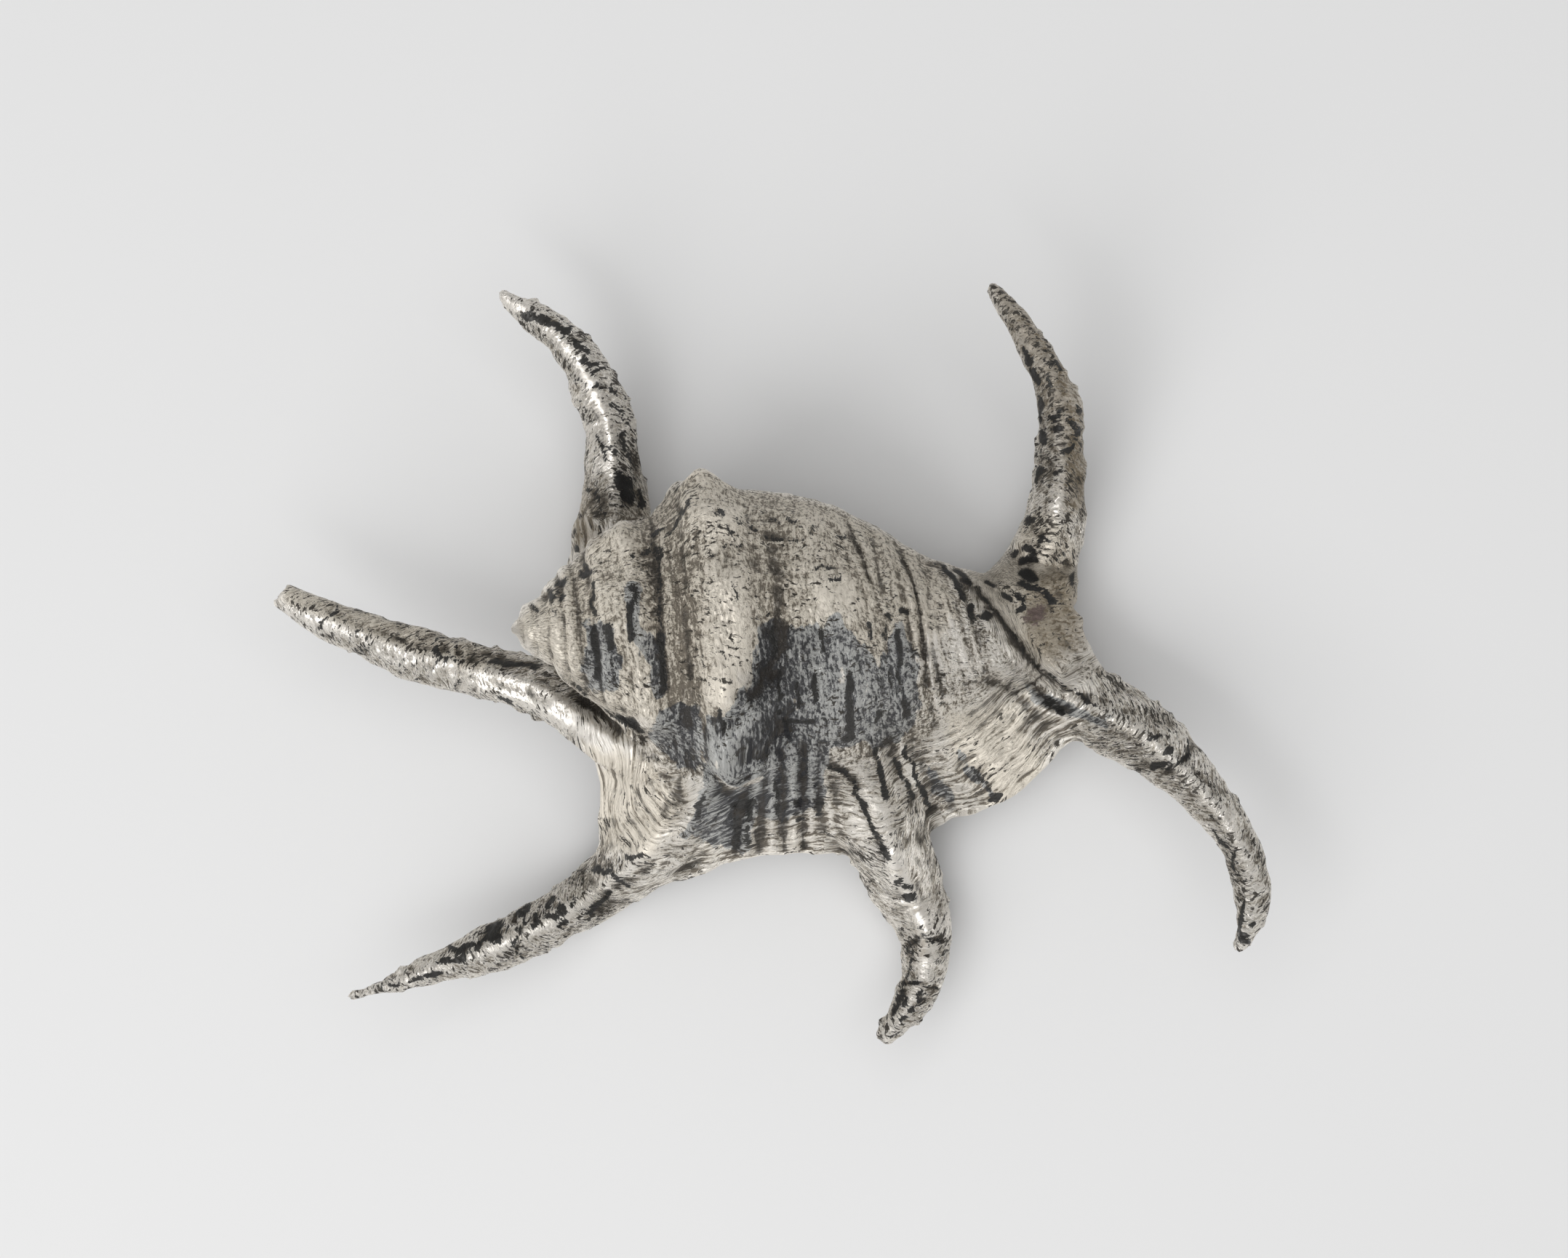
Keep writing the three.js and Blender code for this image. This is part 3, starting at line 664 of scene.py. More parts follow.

# %% [markdown]
# ## Single marks
#
# Some marks are single and have a place of their own: flakes of black sulphide on the digits, dark dashes
# that run down the patina, cracks round the digits, bright marks where crests are rubbed bare and lightened
# further as painted highlights, and one rose stain. One dark mark is painted shade where the spire digit
# meets the spire, and one down the siphon groove is partly painted shade. They are drawn like the strokes
# above, each as a half width and a line. The line is made to wobble a little, and the material gives the
# mark ragged edges.

# %% Draw the single marks
# Half width, then x and y of each point, in millimetres
BLACK = [
    # spire and body
    (0.9, -46, 21.8, -44.5, 22), (0.7, -44.7, 23.8, -44, 21.3), (0.6, -43.5, 19, -43, 16, -42.8, 12),
    (0.9, -53.5, 17.5, -53, 15), (0.5, -52.7, 13, -52, 11.5), (0.6, -51.8, 18, -50.5, 15),
    (0.8, -57.5, 14, -56.5, 12.5), (0.9, -52, 19.5, -50, 20), (0.9, -43, 9, -42.8, 5, -42, 1, -42, -3),
    (1.0, -40, 9.5, -39.3, 6, -38.8, 3.5), (0.5, -38.5, 1, -38.2, -4.5),
    (0.9, -34.5, 19, -33, 18, -33.8, 14, -34, 9, -33.5, 6),
    (0.5, -28.5, 29, -27.3, 23, -26.8, 15, -26.5, 8), (0.9, -27.2, 7.5, -26.5, 4, -26.3, -2, -26.3, -7),
    (0.9, -22, 36.5, -20, 39), (0.6, -24.5, 32, -22.5, 35), (0.6, -27.5, 28.5, -27, 26.5),
    (0.7, -28, 31.5, -26.5, 33), (0.6, -33.8, 26, -33.2, 26.2), (0.6, -31, 26.8, -30, 27.3),
    (0.8, -47, -5, -45, -8.3, -42, -10.5, -38, -12), (1.2, -37, -12.5, -34, -14, -31.5, -16),
    (0.6, -11.5, 33, -10.3, 31), (0.4, -8.5, 34.8, -7.7, 33.3, -6, 33.8, -6.3, 35.8),
    (0.7, -4.5, 33.2, -3.9, 32), (0.5, -13.5, 36.8, -12.3, 36), (0.6, 0, 34.8, 1, 34.2),
    (0.5, -14.2, 32.5, -13.5, 33), (0.6, -15, 25.5, -14, 26), (0.4, -12, 28.5, -7, 28),
    (0.4, -2, 30.5, 7, 29.8), (0.5, 4, 34.5, 6, 33.5), (0.5, 8.5, 32, 10, 33), (0.5, 15, 31, 17, 31),
    (0.5, 10, 22.5, 12, 24, 14.5, 23), (0.6, 13.5, 20.5, 15.5, 20), (0.9, 31, 13, 32, 12.5),
    (0.6, 27.5, 12, 28, 10.5), (0.4, -9, 18.5, -8.6, 16), (0.5, -3.5, 11.5, -1, 12.3),
    (0.4, -13, 3.5, -11, 1.5, -9.5, 2.5), (1.2, 18, -2, 18.2, -8), (1.4, 18.3, -9, 18.2, -17.5),
    (0.6, 25.3, -11.5, 25.2, -14.5), (0.8, 30.2, 7.5, 30, 4), (0.5, 30.3, 4, 30.4, 0, 30.5, -6),
    (0.6, 31.5, -9, 31.5, -12.5), (0.6, 32.8, -9, 32.6, -12), (0.5, 28, -1, 28.3, -5.5),
    (0.4, 25.5, -3, 25.7, -6.5), (0.6, 5.8, -4.5, 6, -10), (0.6, 1.5, -2, 1.3, -11),
    (0.7, 10, -3, 10.3, -8), (0.6, 0.5, 9, 0.3, 2), (0.6, 12, 8, 12.3, 3), (0.7, -12.5, -11, -12, -17),
    (0.8, 3, -13.5, 9, -13.8), (0.5, 12, -13, 13, -14.5), (0.6, 23.5, 10, 24, 6), (0.5, 26.8, 9, 27, 6),
    # lip
    (1.0, -8.5, -37, -9, -44), (0.7, -5, -33, -6.5, -43), (1.0, -9, -34, -6, -33.5),
    (0.6, 0.7, -28, 0.8, -36), (0.6, 5.5, -33, 6, -37), (0.6, 10.5, -31, 11, -36),
    (0.8, 25, -20.5, 25.5, -26, 28, -32), (0.6, 29, -22, 32.5, -30, 35, -36),
    (0.7, 31.5, -20, 34.5, -27, 38, -34), (0.5, 48.5, -25.5, 54.5, -33), (0.9, 52.5, -33.5, 54.5, -32.5),
    (1.0, -35, -47, -32.5, -46), (0.8, -18.5, -37, -17, -31), (0.8, -43, -49.5, -39, -50.5, -35.3, -54),
    (0.7, 13.5, -24.5, 17.5, -25.5, 19.5, -29.5, 22, -34.5, 25, -41, 26.5, -44.5, 28, -46.5),
    # spire digit
    (0.5, -105.6, 15, -105.4, 13, -107.5, 11.5, -109, 10, -109.5, 9),
    (0.4, -98, 8.8, -97.5, 6.5, -98.3, 4.5), (1.0, -66, -8, -63, -10.2, -61.3, -11.3),
    # The second mark on the next line is painted shade where the spire digit meets the spire.
    (0.7, -81.5, 5, -80.5, 3.2, -78.5, 1.5), (0.8, -68, 0.5, -62, 0.5, -57, -1),
    # back digit
    (1.4, -59, 83.5, -55, 83), (1.4, -53, 82.5, -50, 81), (0.9, -48, 78, -45, 75.5),
    (0.7, -47.5, 73.5, -45.5, 73.3), (0.8, -46, 72.5, -43, 72.5), (0.6, -44, 70.5, -41, 71.5),
    (0.6, -43, 67, -40.5, 67.5), (0.8, -39.5, 66.5, -37.5, 66), (0.7, -39.5, 63, -37, 61, -35.5, 59),
    (0.7, -36.5, 56, -36, 52, -34, 49), (0.8, -39.5, 52.5, -38.5, 51), (1.8, -37.5, 45.5, -36, 43),
    (1.7, -36.3, 41.5, -35.3, 40.5), (1.0, -32.5, 42, -31.5, 39), (0.5, -46, 43, -43, 40.5, -41.5, 37),
    (0.6, -42.5, 55.5, -41.5, 52.5, -41, 49.5), (1.0, -47.5, 27.8, -46.8, 27.5),
    # corner digit
    (1.8, -68, -63.5, -66.5, -63.2), (2.0, -68, -65.8, -66.3, -66.2), (0.8, -60.5, -58.5, -61.5, -60.5),
    (0.9, -58.7, -57.8, -60, -59.8), (0.8, -57.5, -61, -58, -63.5), (0.7, -53.8, -56.5, -54.3, -58.5),
    (1.2, -54.8, -61, -53, -60.5), (1.3, -52, -58.5, -51.5, -60), (0.8, -50.5, -63.2, -51.5, -63.8),
    (0.7, -49, -58.5, -48, -57.5), (1.0, -45, -60, -42, -58, -40.5, -55.5),
    (0.5, -62.5, -59.5, -60.5, -62, -60.8, -64.5, -62.5, -67, -61.8, -70, -60.5, -71.3),
    (1.0, -79, -68, -76.5, -69.5, -73, -67.5), (0.9, -75.5, -71, -74.3, -69.8),
    (0.8, -81, -72, -77, -71.5), (0.8, -84.5, -75.5, -81, -74.7), (0.8, -88, -76.5, -86, -76.2),
    (0.9, -94.5, -77.5, -91, -77.3), (0.8, -103, -80, -100, -80.5), (0.8, -70, -66.5, -72, -68.5),
    # lip digit
    (1.0, 29.5, -52.5, 31, -52.3), (0.9, 31.5, -53.5, 33, -54), (0.9, 32, -56.3, 34, -56.3),
    (0.5, 32.8, -70, 33.5, -67.8, 36, -66.3, 38.5, -66.5, 41, -67),
    (0.5, 33.3, -69, 32.7, -75.3, 31.5, -77.5), (0.5, 31.5, -77.3, 35, -77, 38, -77.8, 40, -79.5),
    (1.0, 31.5, -79.5, 30.5, -81.5), (1.0, 29.8, -83, 28.6, -84.5), (0.8, 36, -79.5, 35.6, -81.5),
    (0.8, 32.5, -81, 31.5, -82.8), (0.8, 34.5, -82.5, 33.8, -84.5), (0.7, 32, -86, 30.5, -86.3),
    (0.7, 28.5, -89.5, 30, -89.8), (0.5, 35.2, -62.8, 36.2, -65.6),
    # front digit
    (0.6, 94, -25.5, 97, -24.2, 99.5, -22.5, 100.5, -20, 100.8, -18), (1.1, 92, -24.5, 94.5, -23.5),
    (0.8, 94, -21, 96, -20.3), (0.8, 91, -18.5, 92.5, -17.5),
    (0.6, 113.2, -57, 112.5, -60, 112.8, -63.5, 112.2, -66),
    (0.5, 111, -45, 110.8, -48.5, 111.8, -50.5, 113.8, -52), (0.6, 106, -40, 109.5, -44),
    (0.9, 113.5, -65.5, 115, -66.5), (0.7, 115, -63.5, 116, -62.5), (0.8, 66, -8.5, 70, -11.5),
    (0.5, 62, 1, 66, -2.5, 70, -5.5, 74, -7.5, 78, -10),
    # siphon digit and siphon
    (0.9, 62.5, 71, 63.6, 67.5), (1.0, 64.3, 64, 64.7, 59), (0.8, 64.9, 56.5, 65, 53),
    (0.9, 60.5, 76, 62, 72.5), (1.3, 62, 28, 63, 27.5), (1.1, 59, 27.5, 58.5, 27),
    (1.1, 60.5, 25, 63.5, 25.5), (1.3, 61, 22, 63.5, 21), (1.0, 60.5, 19, 64, 18.2),
    (1.0, 66, 17.5, 68, 15.5), (1.1, 59.5, 16.5, 60.3, 15.5), (0.8, 53.5, 19, 52, 20),
    (0.8, 56, 16.5, 57, 16), (0.7, 59, 13, 61, 13.5), (0.9, 68, 45.8, 69.3, 46.3),
    (1.0, 64.5, 47.5, 63.8, 44), (1.0, 68, 59.5, 69.5, 60.3), (0.9, 67, 57.5, 69.5, 56.5),
    (1.0, 71.5, 58.5, 73.5, 56), (0.8, 72, 53.5, 70.5, 51.5), (0.8, 66, 68, 66.8, 69),
    (0.9, 73.5, 62, 74.5, 60.5), (0.9, 67.5, 72.5, 69.5, 71), (0.9, 63, 35.5, 61, 34.5),
    (0.7, 64.5, 30.5, 66, 30), (0.8, 73, 22, 72.5, 19.5), (0.9, 40, 25.5, 43.5, 21, 46, 16),
    (0.9, 44.5, 23, 48, 19.5), (1.2, 47.5, 13.5, 48.5, 11.5),
    # The first mark on the next line runs down the siphon groove: dark patina, partly painted shade.
    (0.5, 49.5, 18.5, 53, 14, 56, 9.5, 59.5, 5, 62, 1), (0.8, 50.5, 12, 52, 11.5),
]
# Bright marks: silver rubbed bare, lightened further as painted highlights on crests, knobs and digits.
RUBBED_AND_HIGHLIGHT = [
    (0.9, 16.3, -0.5, 16.5, -4), (0.8, 17, -5, 17, -9), (0.9, -13.8, -1, -13.5, -9),
    (0.9, -10.5, -5, -10.5, -9), (1.5, -8.5, -1.5, -8, -3), (1.0, -14, -23, -13, -24.5),
    (0.6, 10, -6, 9.8, -13), (0.6, 4.8, -8, 5.5, -11), (0.6, 5, -24, 4.8, -31), (0.7, 22, -3, 22, -7),
    (1.5, 12, 18, 12.5, 13), (1.8, 17, 19, 17.5, 16), (0.7, 36.5, 12, 37.5, 0), (0.7, 38.8, 8, 39, -2),
    (0.7, 27.5, -22, 30.5, -30), (0.8, 31, -21, 34, -29, 36.5, -34), (0.8, 42, 12, 46, 2),
    (1.5, -117, 12.5, -104, 8, -92, 2.5, -84, 0, -74, -3),
    (1.8, -74, -3, -64, -6, -55, -10, -48, -14, -40, -20),
    (1.0, -51, 77, -47, 72, -44, 66, -42.5, 60, -41.5, 55), (1.1, -41.5, 50, -40.5, 44),
    (1.2, -64, 87, -60, 85.5), (1.3, -55, 80, -53, 78), (1.4, -67.5, -69, -65, -68),
    (1.2, -58, -66, -52, -63, -48, -60, -45, -58), (2.2, 34, -47, 36, -52, 37, -58),
    (1.8, 30, -47, 33, -58, 35, -63), (1.3, 36.5, -68, 36, -74), (1.0, 39, -68, 39.2, -70.5),
]
ROSE = [(2.6, 62.8, 12, 64.8, 12.8)]
THINNEST = 0.7
SCAR_SHADE = 0.55
WOBBLE = 0.9
WOBBLE_SIZE = 2.4

wobbled = points[:, :2] + WOBBLE * np.stack([lumps(points, WOBBLE_SIZE, seed) for seed in (21, 22)], 1)


def drawn(marks):
    """1 on drawn marks, 0 off them; marks finer than the net are widened and made fainter."""
    total = np.zeros(len(points))
    for width, *line in marks:
        drawn_width = max(width, THINNEST)
        near = stroke_profile(line, drawn_width, drawn_width, wobbled)
        total = np.maximum(total, near * width / drawn_width)
    return total * on_top


black = np.maximum(drawn(BLACK), SCAR_SHADE * scar_edge)
rubbed_and_highlight = drawn(RUBBED_AND_HIGHLIGHT)
rose = drawn(ROSE)
print(len(BLACK), "dark marks and", len(RUBBED_AND_HIGHLIGHT), "bright ones")

# %% [markdown]
# ## Where lines show
#
# The tops of the digits are made paler, partly as rubbed silver and partly as a painted highlight, and the
# bare lip is paler in tone. Old edges show most on the lip, less on the digits and on the upper dome, and
# hardly on the rest of the body, where cords show instead. Each point gets a weight for either kind of
# line. Behind the siphon the lip's lines run together, so there the skin is measured straight from above.

# %% Weigh the lines
DIGIT_STEP = 200.0
SIPHON_BACK = [(50, 20), (56, 24), (60, 22), (72, 24), (78, 14), (78, 2), (70, -4), (64, -1), (58, 6)]

bare_lip = on_lip * (1 - on_digit)
body_share = 0.75 - 0.4 * ramp(points[:, 1], 14, 22)
settled = within([SIPHON_BACK], 4)
# Digit tops are made paler, partly rubbed and partly a painted highlight; the bare lip is paler in tone.
crest = on_digit * np.exp(-(round_digit / 2.0) ** 2)
pale_and_highlight += 0.9 * crest + 0.35 * bare_lip * (1 - patina)
edge_weight = (1 - 0.3 * on_digit) * (1 - on_body * body_share) + 1.1 * bare_lip
edge_weight *= 1 - 0.8 * settled
cord_weight = on_body * np.maximum(fine_cords, body_share)

level = np.zeros(len(points))
shell_growth = np.stack([across + 0.6 * wander, grown + 2 * wander, level], 1)
shell_growth += settled[:, None] * (points * (1, 1, 0) - shell_growth)
digit_growth = np.stack([round_digit, digit_grown + DIGIT_STEP * digit_number, level], 1)
print("old edges weigh up to", round(edge_weight.max(), 2), "and cords up to", round(cord_weight.max(), 2))

# %% [markdown]
# ## The finished mesh
#
# The points go back into the mesh, and each takes its measures along as attributes for the material to
# read.

# %% Write the mesh
skin.vertices.foreach_set("co", (points * MM).astype(np.float32).ravel())
skin.polygons.foreach_set("use_smooth", np.ones(len(quads), bool))
skin.update()
skin.name = "shell_skin"

measures = {
    "place": points, "shell_growth": shell_growth, "digit_growth": digit_growth,
    "edge_weight": edge_weight, "cord_weight": cord_weight,
    "on_body": on_body, "on_digit": on_digit, "on_lip": bare_lip,
    "hollow": hollow, "valley": valley, "groove": groove,
    "patina": patina, "chalk": chalk, "soot_and_shade": soot_and_shade, "pale_and_highlight": pale_and_highlight, "dull": dull, "tan": tan,
    "black": black, "rubbed_and_highlight": rubbed_and_highlight, "rose": rose,
}
for name, values in measures.items():
    kind, field = ("FLOAT", "value") if values.ndim == 1 else ("FLOAT_VECTOR", "vector")
    skin.attributes.new(name, kind, "POINT").data.foreach_set(field, values.astype(np.float32).ravel())

shell = bpy.data.objects.new("silver_shell", skin)
bpy.context.scene.collection.objects.link(shell)
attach(shell, "root")
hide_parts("shell")
print("attributes:", ", ".join(measures))

# %% [markdown]
# ## Aged silver
#
# The skin is metal: silver laid thin over the shell, left to tarnish, and rubbed by hands ever since. It
# could be painted by hand, but nodes that read the measures follow the growth and stay sharp at any
# distance. One surface carries the metal and everything on it. A small function adds each node with its
# settings and links.

# %% Start the silver
# A soft metal sheen, broken all over by flakes of tarnish, with crests made lighter, partly as a painted
# highlight
silver = bpy.data.materials.new("worn_silver_skin_on_shell")
silver.use_nodes = True
nodes = silver.node_tree.nodes
links = silver.node_tree.links
surface = nodes["Principled BSDF"]


def linear(code):
    """An sRGB hex colour as linear values with alpha."""
    parts = [int(code[i:i + 2], 16) / 255 for i in (1, 3, 5)]
    return [c / 12.92 if c <= 0.04045 else ((c + 0.055) / 1.055) ** 2.4 for c in parts] + [1]


def add(kind, inputs, output=None, **settings):
    """Adds a node, gives it its settings and inputs, and returns one of its outputs."""
    made = nodes.new(kind)
    for name, value in settings.items():
        setattr(made, name, value)
    for key, value in inputs.items():
        socket = made.inputs[key] if isinstance(key, int) else next(
            s for s in made.inputs if s.enabled and s.name == key)
        if isinstance(value, bpy.types.NodeSocket):
            links.new(value, socket)
        else:
            socket.default_value = value
    return next(s for s in made.outputs if s.enabled and output in (None, s.name))


area = {name: add("ShaderNodeAttribute", {}, "Vector" if values.ndim == 2 else "Fac", attribute_name=name)
        for name, values in measures.items()}
print("the material reads", len(area), "measures")

# %% [markdown]
# ## Noise that follows the growth
#
# On the real shell, flakes and scratches run along cords and old edges. So most noises are laid out in the
# two growth lengths, each with its own size in millimetres across and along the cords. On a digit the
# digit's own lengths take over, with a ragged change between them. The real wrinkles are finer than a
# render can show, so the smallest noise is drawn as coarse as 0.6 mm.

# %% Noises along the growth
BLOTCH_SIZE = 7

blotch = add("ShaderNodeTexNoise", {"Vector": area["place"], "Scale": 1 / BLOTCH_SIZE, "Detail": 5,
                                    "Roughness": 0.62})
loose = add("ShaderNodeMath", {0: blotch, 1: 0.8, 2: area["on_digit"]}, operation="MULTIPLY_ADD")
choose_digit = add("ShaderNodeMath", {0: loose, 1: 0.9}, operation="GREATER_THAN")
flow = add("ShaderNodeMix", {"Factor": choose_digit, "A": area["shell_growth"], "B": area["digit_growth"]},
           data_type="VECTOR")
# name: size across the cords and along them in millimetres, octaves, roughness, distortion
NOISES = {
    "cord": (0.8, 12, 3, 0.5, 0.1), "edge": (5, 0.75, 3, 0.5, 0.4), "dash": (2.0, 8, 4, 0.5, 0.2),
    "crust": (1.8, 0.9, 5, 0.7, 0.4), "flake": (0.9, 1.8, 5, 0.72, 0.3), "speck": (0.6, 0.6, 1, 0.5, 0),
}
noise = {}
for name, (first, second, octaves, rough, distortion) in NOISES.items():
    spread = add("ShaderNodeMapping", {"Vector": flow, "Scale": (1 / first, 1 / second, 1)})
    noise[name] = add("ShaderNodeTexNoise", {"Vector": spread, "Scale": 1, "Detail": octaves,
                                             "Roughness": rough, "Distortion": distortion},
                      noise_dimensions="2D")
print("noises: blotch,", ", ".join(noise))

# %% [markdown]
# ## Masks
#
# A mask says where a layer lies, from 0 to 1. Each is a blend of areas and noise, cut off between two
# values: a narrow cut gives flakes with crisp edges, a wide one a soft film. The main blend is
# `wear_and_shading`, which tells how far the skin is rubbed, with painted light and shade mixed in. It rises
# with the grain and on pale crests and bright marks, partly as painted highlights, and falls in hollows and
# along the lines. Over broad valleys it falls as painted shade, and over broad crests it rises as painted
# light.

# %% Blend and cut
def blend(*terms):
    """The sum of sockets times their weights."""
    total = None
    for socket, weight in terms:
        inputs = {0: socket, 1: weight} if total is None else {0: socket, 1: weight, 2: total}
        total = add("ShaderNodeMath", inputs, operation="MULTIPLY" if total is None else "MULTIPLY_ADD")
    return total


def cut(low, high, *terms):
    """A mask: a blend cut off between two values."""
    return add("ShaderNodeMapRange", {"Value": blend(*terms), "From Min": low, "From Max": high},
               interpolation_type="SMOOTHSTEP")


# %% Cut the masks
swing = None
for name in ("edge", "cord"):
    centred = add("ShaderNodeMath", {0: noise[name], 1: 0.5}, operation="SUBTRACT")
    inputs = {0: centred, 1: area[name + "_weight"]}
    swing = add("ShaderNodeMath", inputs if swing is None else {**inputs, 2: swing},
                operation="MULTIPLY" if swing is None else "MULTIPLY_ADD")
grain = add("ShaderNodeMix", {"Factor": area["on_body"], "A": noise["crust"], "B": noise["flake"]})
# Wear with painted light and shade: broad valleys darken as painted shade, pale and bright marks lighten
# partly as painted highlights.
wear_and_shading = blend((grain, 1.7), (swing, -0.55), (noise["speck"], 0.3), (blotch, 0.4), (area["hollow"], -0.12),
             (area["valley"], -0.10), (area["pale_and_highlight"], 0.2), (area["rubbed_and_highlight"], 0.12), (area["dull"], -0.12))
# The dark, plain and light tones follow this blend, so they carry its painted light and shade too.
kept_mask = cut(1.05, 1.14, (wear_and_shading, 1.0))
light_mask = cut(1.20, 1.28, (wear_and_shading, 1.0))
chalk_mask = cut(0.35, 0.85,
                 (area["chalk"], 0.8), (blotch, 0.6), (area["on_lip"], 0.2), (area["rubbed_and_highlight"], -0.3))
patina_mask = cut(0.96, 1.04,
                  (area["patina"], 0.6), (blotch, 0.9), (noise["dash"], 0.5), (area["rubbed_and_highlight"], -0.3))
crust_mask = cut(0.90, 0.95,
                 (noise["crust"], 1.0), (blotch, 0.6), (area["on_digit"], 0.07), (area["rubbed_and_highlight"], -0.1))
dash_mask = cut(0.84, 0.92,
                (noise["dash"], 1.0), (area["patina"], 0.19), (area["hollow"], 0.1), (area["rubbed_and_highlight"], -0.3))
# Dirt in hollows, and painted shade in part along the narrow carved grooves
dirt_and_shade_mask = cut(0.50, 1.0,
                (area["hollow"], 0.6), (blotch, 0.35), (noise["speck"], 0.3), (area["groove"], 0.1))
# Soot, and painted shade in part, by the siphon and at two digit roots
soot_and_shade_mask = cut(1.28, 1.36,
                (area["soot_and_shade"], 0.28), (blotch, 1.0), (noise["crust"], 0.8), (area["black"], 0.25))
# Black marks: sulphide flakes, and painted shade where the spire digit meets the spire and, in part, down
# the siphon groove.
black_mask = cut(1.42, 1.56, (area["black"], 0.9), (grain, 1.7), (noise["speck"], 0.4))
rose_mask = cut(1.35, 1.65, (area["rose"], 0.8), (blotch, 0.6), (grain, 1.4))
tan_mask = cut(0.5, 1.6, (area["tan"], 0.6), (blotch, 0.6), (noise["crust"], 0.4))
print("masks made,", len(nodes), "nodes so far")

# %% [markdown]
# ## Layers of silver, tarnish, dirt and painted light and shade
#
# There are three grounds: bright worn silver, a dull cream skin and a grey patina. Each has a tone where it
# is worn dark, one where it is plain and one where it is rubbed light; the dark tone also lies as painted
# shade in broad valleys, and the light tone as a painted highlight on pale and bright marks. Over them lie
# the deposits, one after the other, which are duller and less metallic than silver. Dirt, soot and sulphide
# are partly painted shade. Metal keeps the default IOR.

# %% Layers of silver, tarnish, dirt and painted light and shade
# Grounds: name, mask, dark, plain and light colour, roughness and metallic
GROUNDS = [
    ("worn silver", None, "#7b746a", "#c9c2b6", "#f5f0e8", 0.42, 1.0),
    ("dull cream", chalk_mask, "#80786c", "#c7beaf", "#ece4d6", 0.55, 0.45),
    ("grey patina", patina_mask, "#4e4e4f", "#7a7a7b", "#c0c0bd", 0.48, 0.7),
]
# Deposits: name, mask, colour, roughness and metallic
DEPOSITS = [
    ("tan film", tan_mask, "#8d7d62", 0.5, 0.6),
    # Dirt in hollows, partly painted shade along the narrow grooves
    ("dirt_and_shade", dirt_and_shade_mask, "#3a352f", 0.7, 0.2),
    ("crust", crust_mask, "#48443e", 0.5, 0.6),
    ("dashes", dash_mask, "#38383a", 0.5, 0.5),
    ("rose stain", rose_mask, "#75655f", 0.6, 0.2),
    # Black sulphide, with painted shade in two of its marks
    ("sulphide_and_shade", black_mask, "#403f3d", 0.45, 0.6),
    # Soot, partly painted shade in the siphon groove and at two digit roots
    ("soot_and_shade", soot_and_shade_mask, "#272625", 0.5, 0.3),
]
for _, mask, dark, plain, light, rough, metal in GROUNDS:
    tone = add("ShaderNodeMix", {"Factor": kept_mask, "A": linear(dark), "B": linear(plain)},
               data_type="RGBA")
    tone = add("ShaderNodeMix", {"Factor": light_mask, "A": tone, "B": linear(light)}, data_type="RGBA")
    if mask is None:
        colour, roughness, metallic = tone, rough, metal
    else:
        colour = add("ShaderNodeMix", {"Factor": mask, "A": colour, "B": tone}, data_type="RGBA")
        roughness = add("ShaderNodeMix", {"Factor": mask, "A": roughness, "B": rough})
        metallic = add("ShaderNodeMix", {"Factor": mask, "A": metallic, "B": metal})
for _, mask, code, rough, metal in DEPOSITS:
    colour = add("ShaderNodeMix", {"Factor": mask, "A": colour, "B": linear(code)}, data_type="RGBA")
    roughness = add("ShaderNodeMix", {"Factor": mask, "A": roughness, "B": rough})
    metallic = add("ShaderNodeMix", {"Factor": mask, "A": metallic, "B": metal})
print("layers:", ", ".join(layer[0] for layer in GROUNDS + DEPOSITS))
links.new(colour, surface.inputs["Base Color"])
links.new(roughness, surface.inputs["Roughness"])
links.new(metallic, surface.inputs["Metallic"])

# %% [markdown]
# ## Fine relief
#
# Wrinkles finer than the net are left to bump. It reads the same blend of wear and painted light and shade
# as the colours, so a rubbed flake stands up and a dark one lies low.

# %% Fine relief
BUMP_HEIGHT = 0.6 * MM

height = cut(0.7, 1.7, (wear_and_shading, 1.0))
bump = add("ShaderNodeBump", {"Height": height, "Strength": 1.0, "Distance": BUMP_HEIGHT})
links.new(bump, surface.inputs["Normal"])
skin.materials.clear()
skin.materials.append(silver)
print(silver.name, "has", len(nodes), "nodes")

# %% [markdown]
# ## Floor and light
#
# The shell lies on a wide sheet of pale paper. A large softbox at the lower left makes the sheen on the
# digits and the soft shadow beside the shell. A wider one overhead and an even white world fill the
# shadows.

# %% Floor and light
FLOOR_SIZE = 6.0
FLOOR_GAP = 0.2 * MM
WORLD_STRENGTH = 0.45
# Lamps: name, place in metres, size in metres, watts
SOFTBOXES = [("key", (-0.75, -1.05, 1.35), 1.4, 18), ("ceiling", (-0.1, -0.1, 2.0), 2.4, 19)]

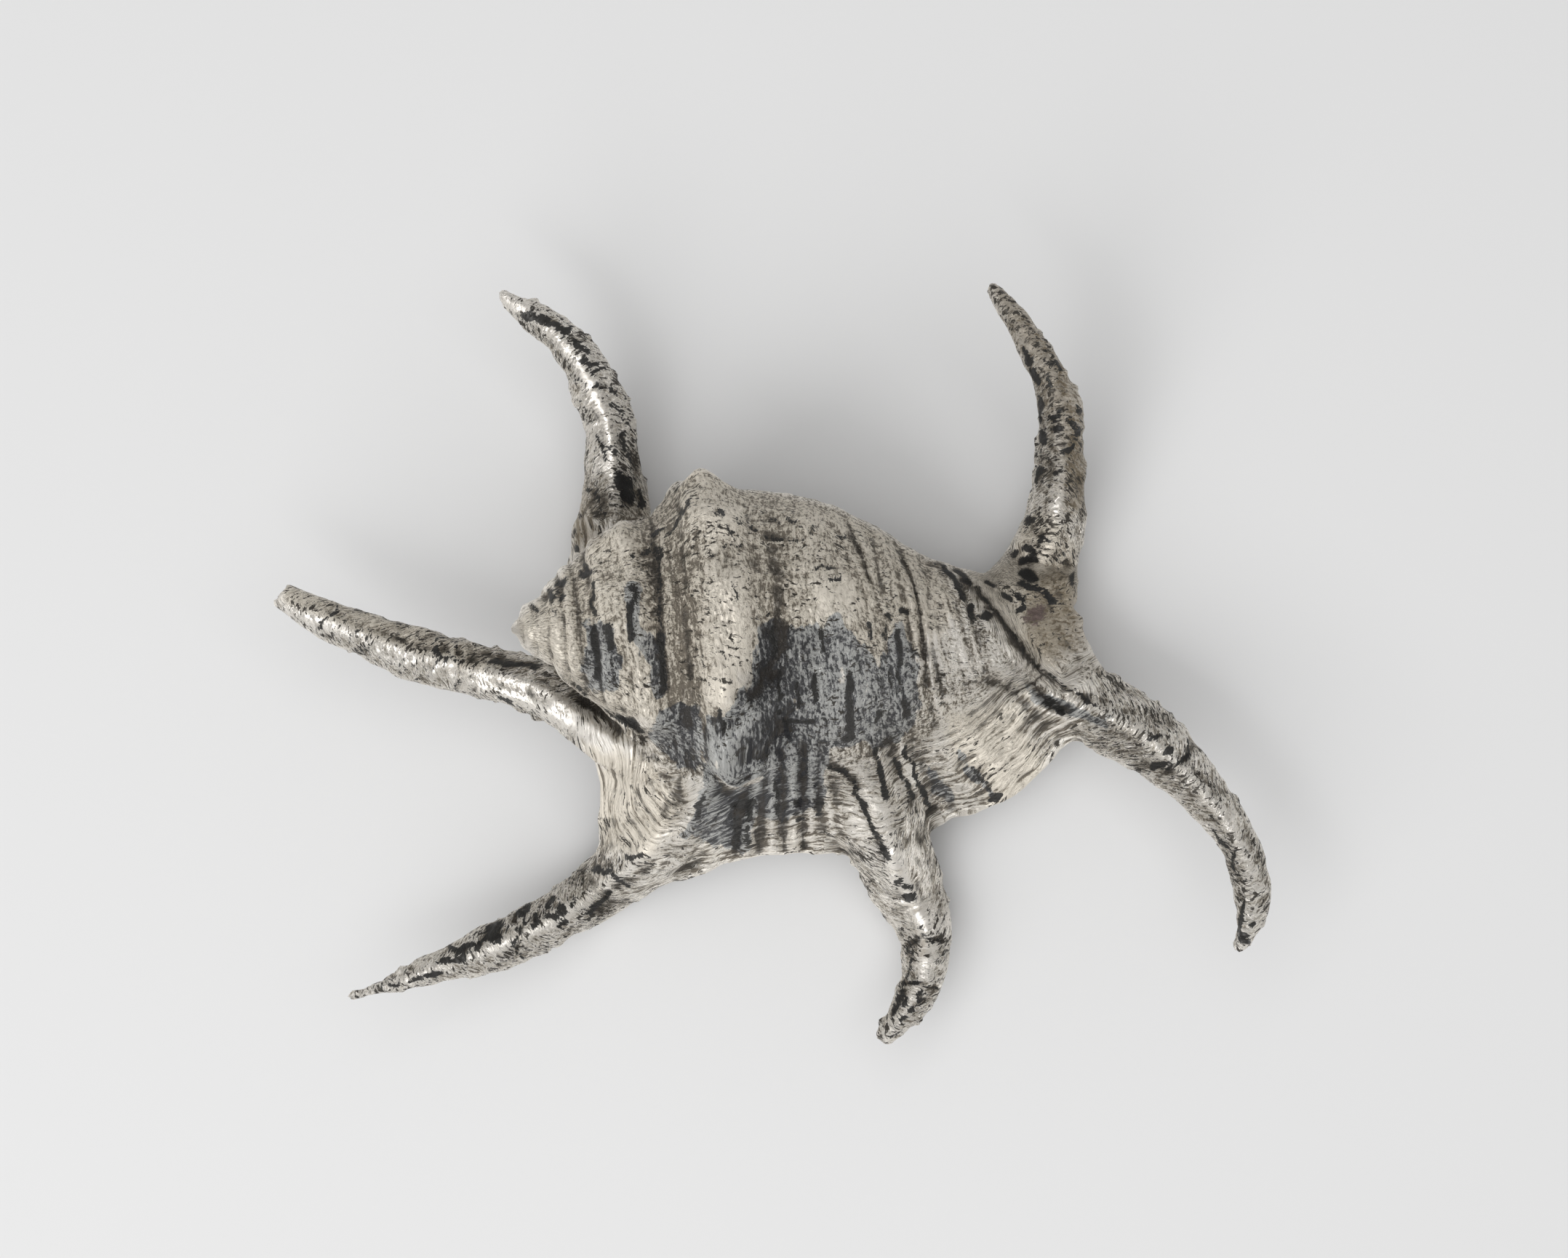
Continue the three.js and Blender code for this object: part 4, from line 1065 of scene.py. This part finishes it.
half = FLOOR_SIZE / 2
corners = [(-half, -half, 0), (half, -half, 0), (half, half, 0), (-half, half, 0)]
floor_mesh = bpy.data.meshes.new("floor")
floor_mesh.from_pydata(corners, [], [(0, 1, 2, 3)])
floor = bpy.data.objects.new("floor", floor_mesh)
floor.location.z = -FLOOR_GAP
bpy.context.scene.collection.objects.link(floor)

# Matt paper has no sheen, so the eye sees only soft shadows on it.
paper = bpy.data.materials.new("pale_matt_paper")
paper.use_nodes = True
paper_surface = paper.node_tree.nodes["Principled BSDF"]
paper_surface.inputs["Base Color"].default_value = linear("#dbdbdb")
paper_surface.inputs["Roughness"].default_value = 0.9
floor_mesh.materials.append(paper)

world = bpy.data.worlds.new("studio")
world.use_nodes = True
sky = world.node_tree.nodes["Background"]
sky.inputs["Color"].default_value = linear("#ffffff")
sky.inputs["Strength"].default_value = WORLD_STRENGTH
bpy.context.scene.world = world

for name, place, size, watts in SOFTBOXES:
    lamp = bpy.data.lights.new(name, "AREA")
    lamp.size = size
    lamp.energy = watts
    box = bpy.data.objects.new(name, lamp)
    box.location = place
    box.rotation_euler = (-Vector(place)).to_track_quat("-Z", "Y").to_euler()
    box.visible_camera = False
    bpy.context.scene.collection.objects.link(box)
print("floor and", len(SOFTBOXES), "softboxes")

# %% [markdown]
# ## Camera
#
# The shell is seen from straight above and from far off, so that a high digit looks hardly larger than a low
# one. The focal length comes from the width in millimetres that the picture covers at the height of the
# digits.

# %% Camera
PHOTO_WIDTH = 378.8 * MM
CAMERA_HEIGHT = 3.0
PICTURE_MIDDLE = (2.64 * MM, 8.6 * MM)
DIGIT_HEIGHT = 30 * MM
SENSOR_WIDTH = 36

lens = bpy.data.cameras.new("camera")
lens.sensor_width = SENSOR_WIDTH
lens.lens = SENSOR_WIDTH * CAMERA_HEIGHT / PHOTO_WIDTH
lens.clip_end = 20
camera = bpy.data.objects.new("camera", lens)
camera.location = (*PICTURE_MIDDLE, CAMERA_HEIGHT + DIGIT_HEIGHT)
bpy.context.scene.collection.objects.link(camera)
bpy.context.scene.camera = camera
bpy.context.scene.view_settings.view_transform = "Standard"
print("the camera covers", round(PHOTO_WIDTH / MM, 1), "mm")

# %% [markdown]
# ## Finish
#
# Last, the scene is brought up to date.

# %% Finish
bpy.context.view_layer.update()
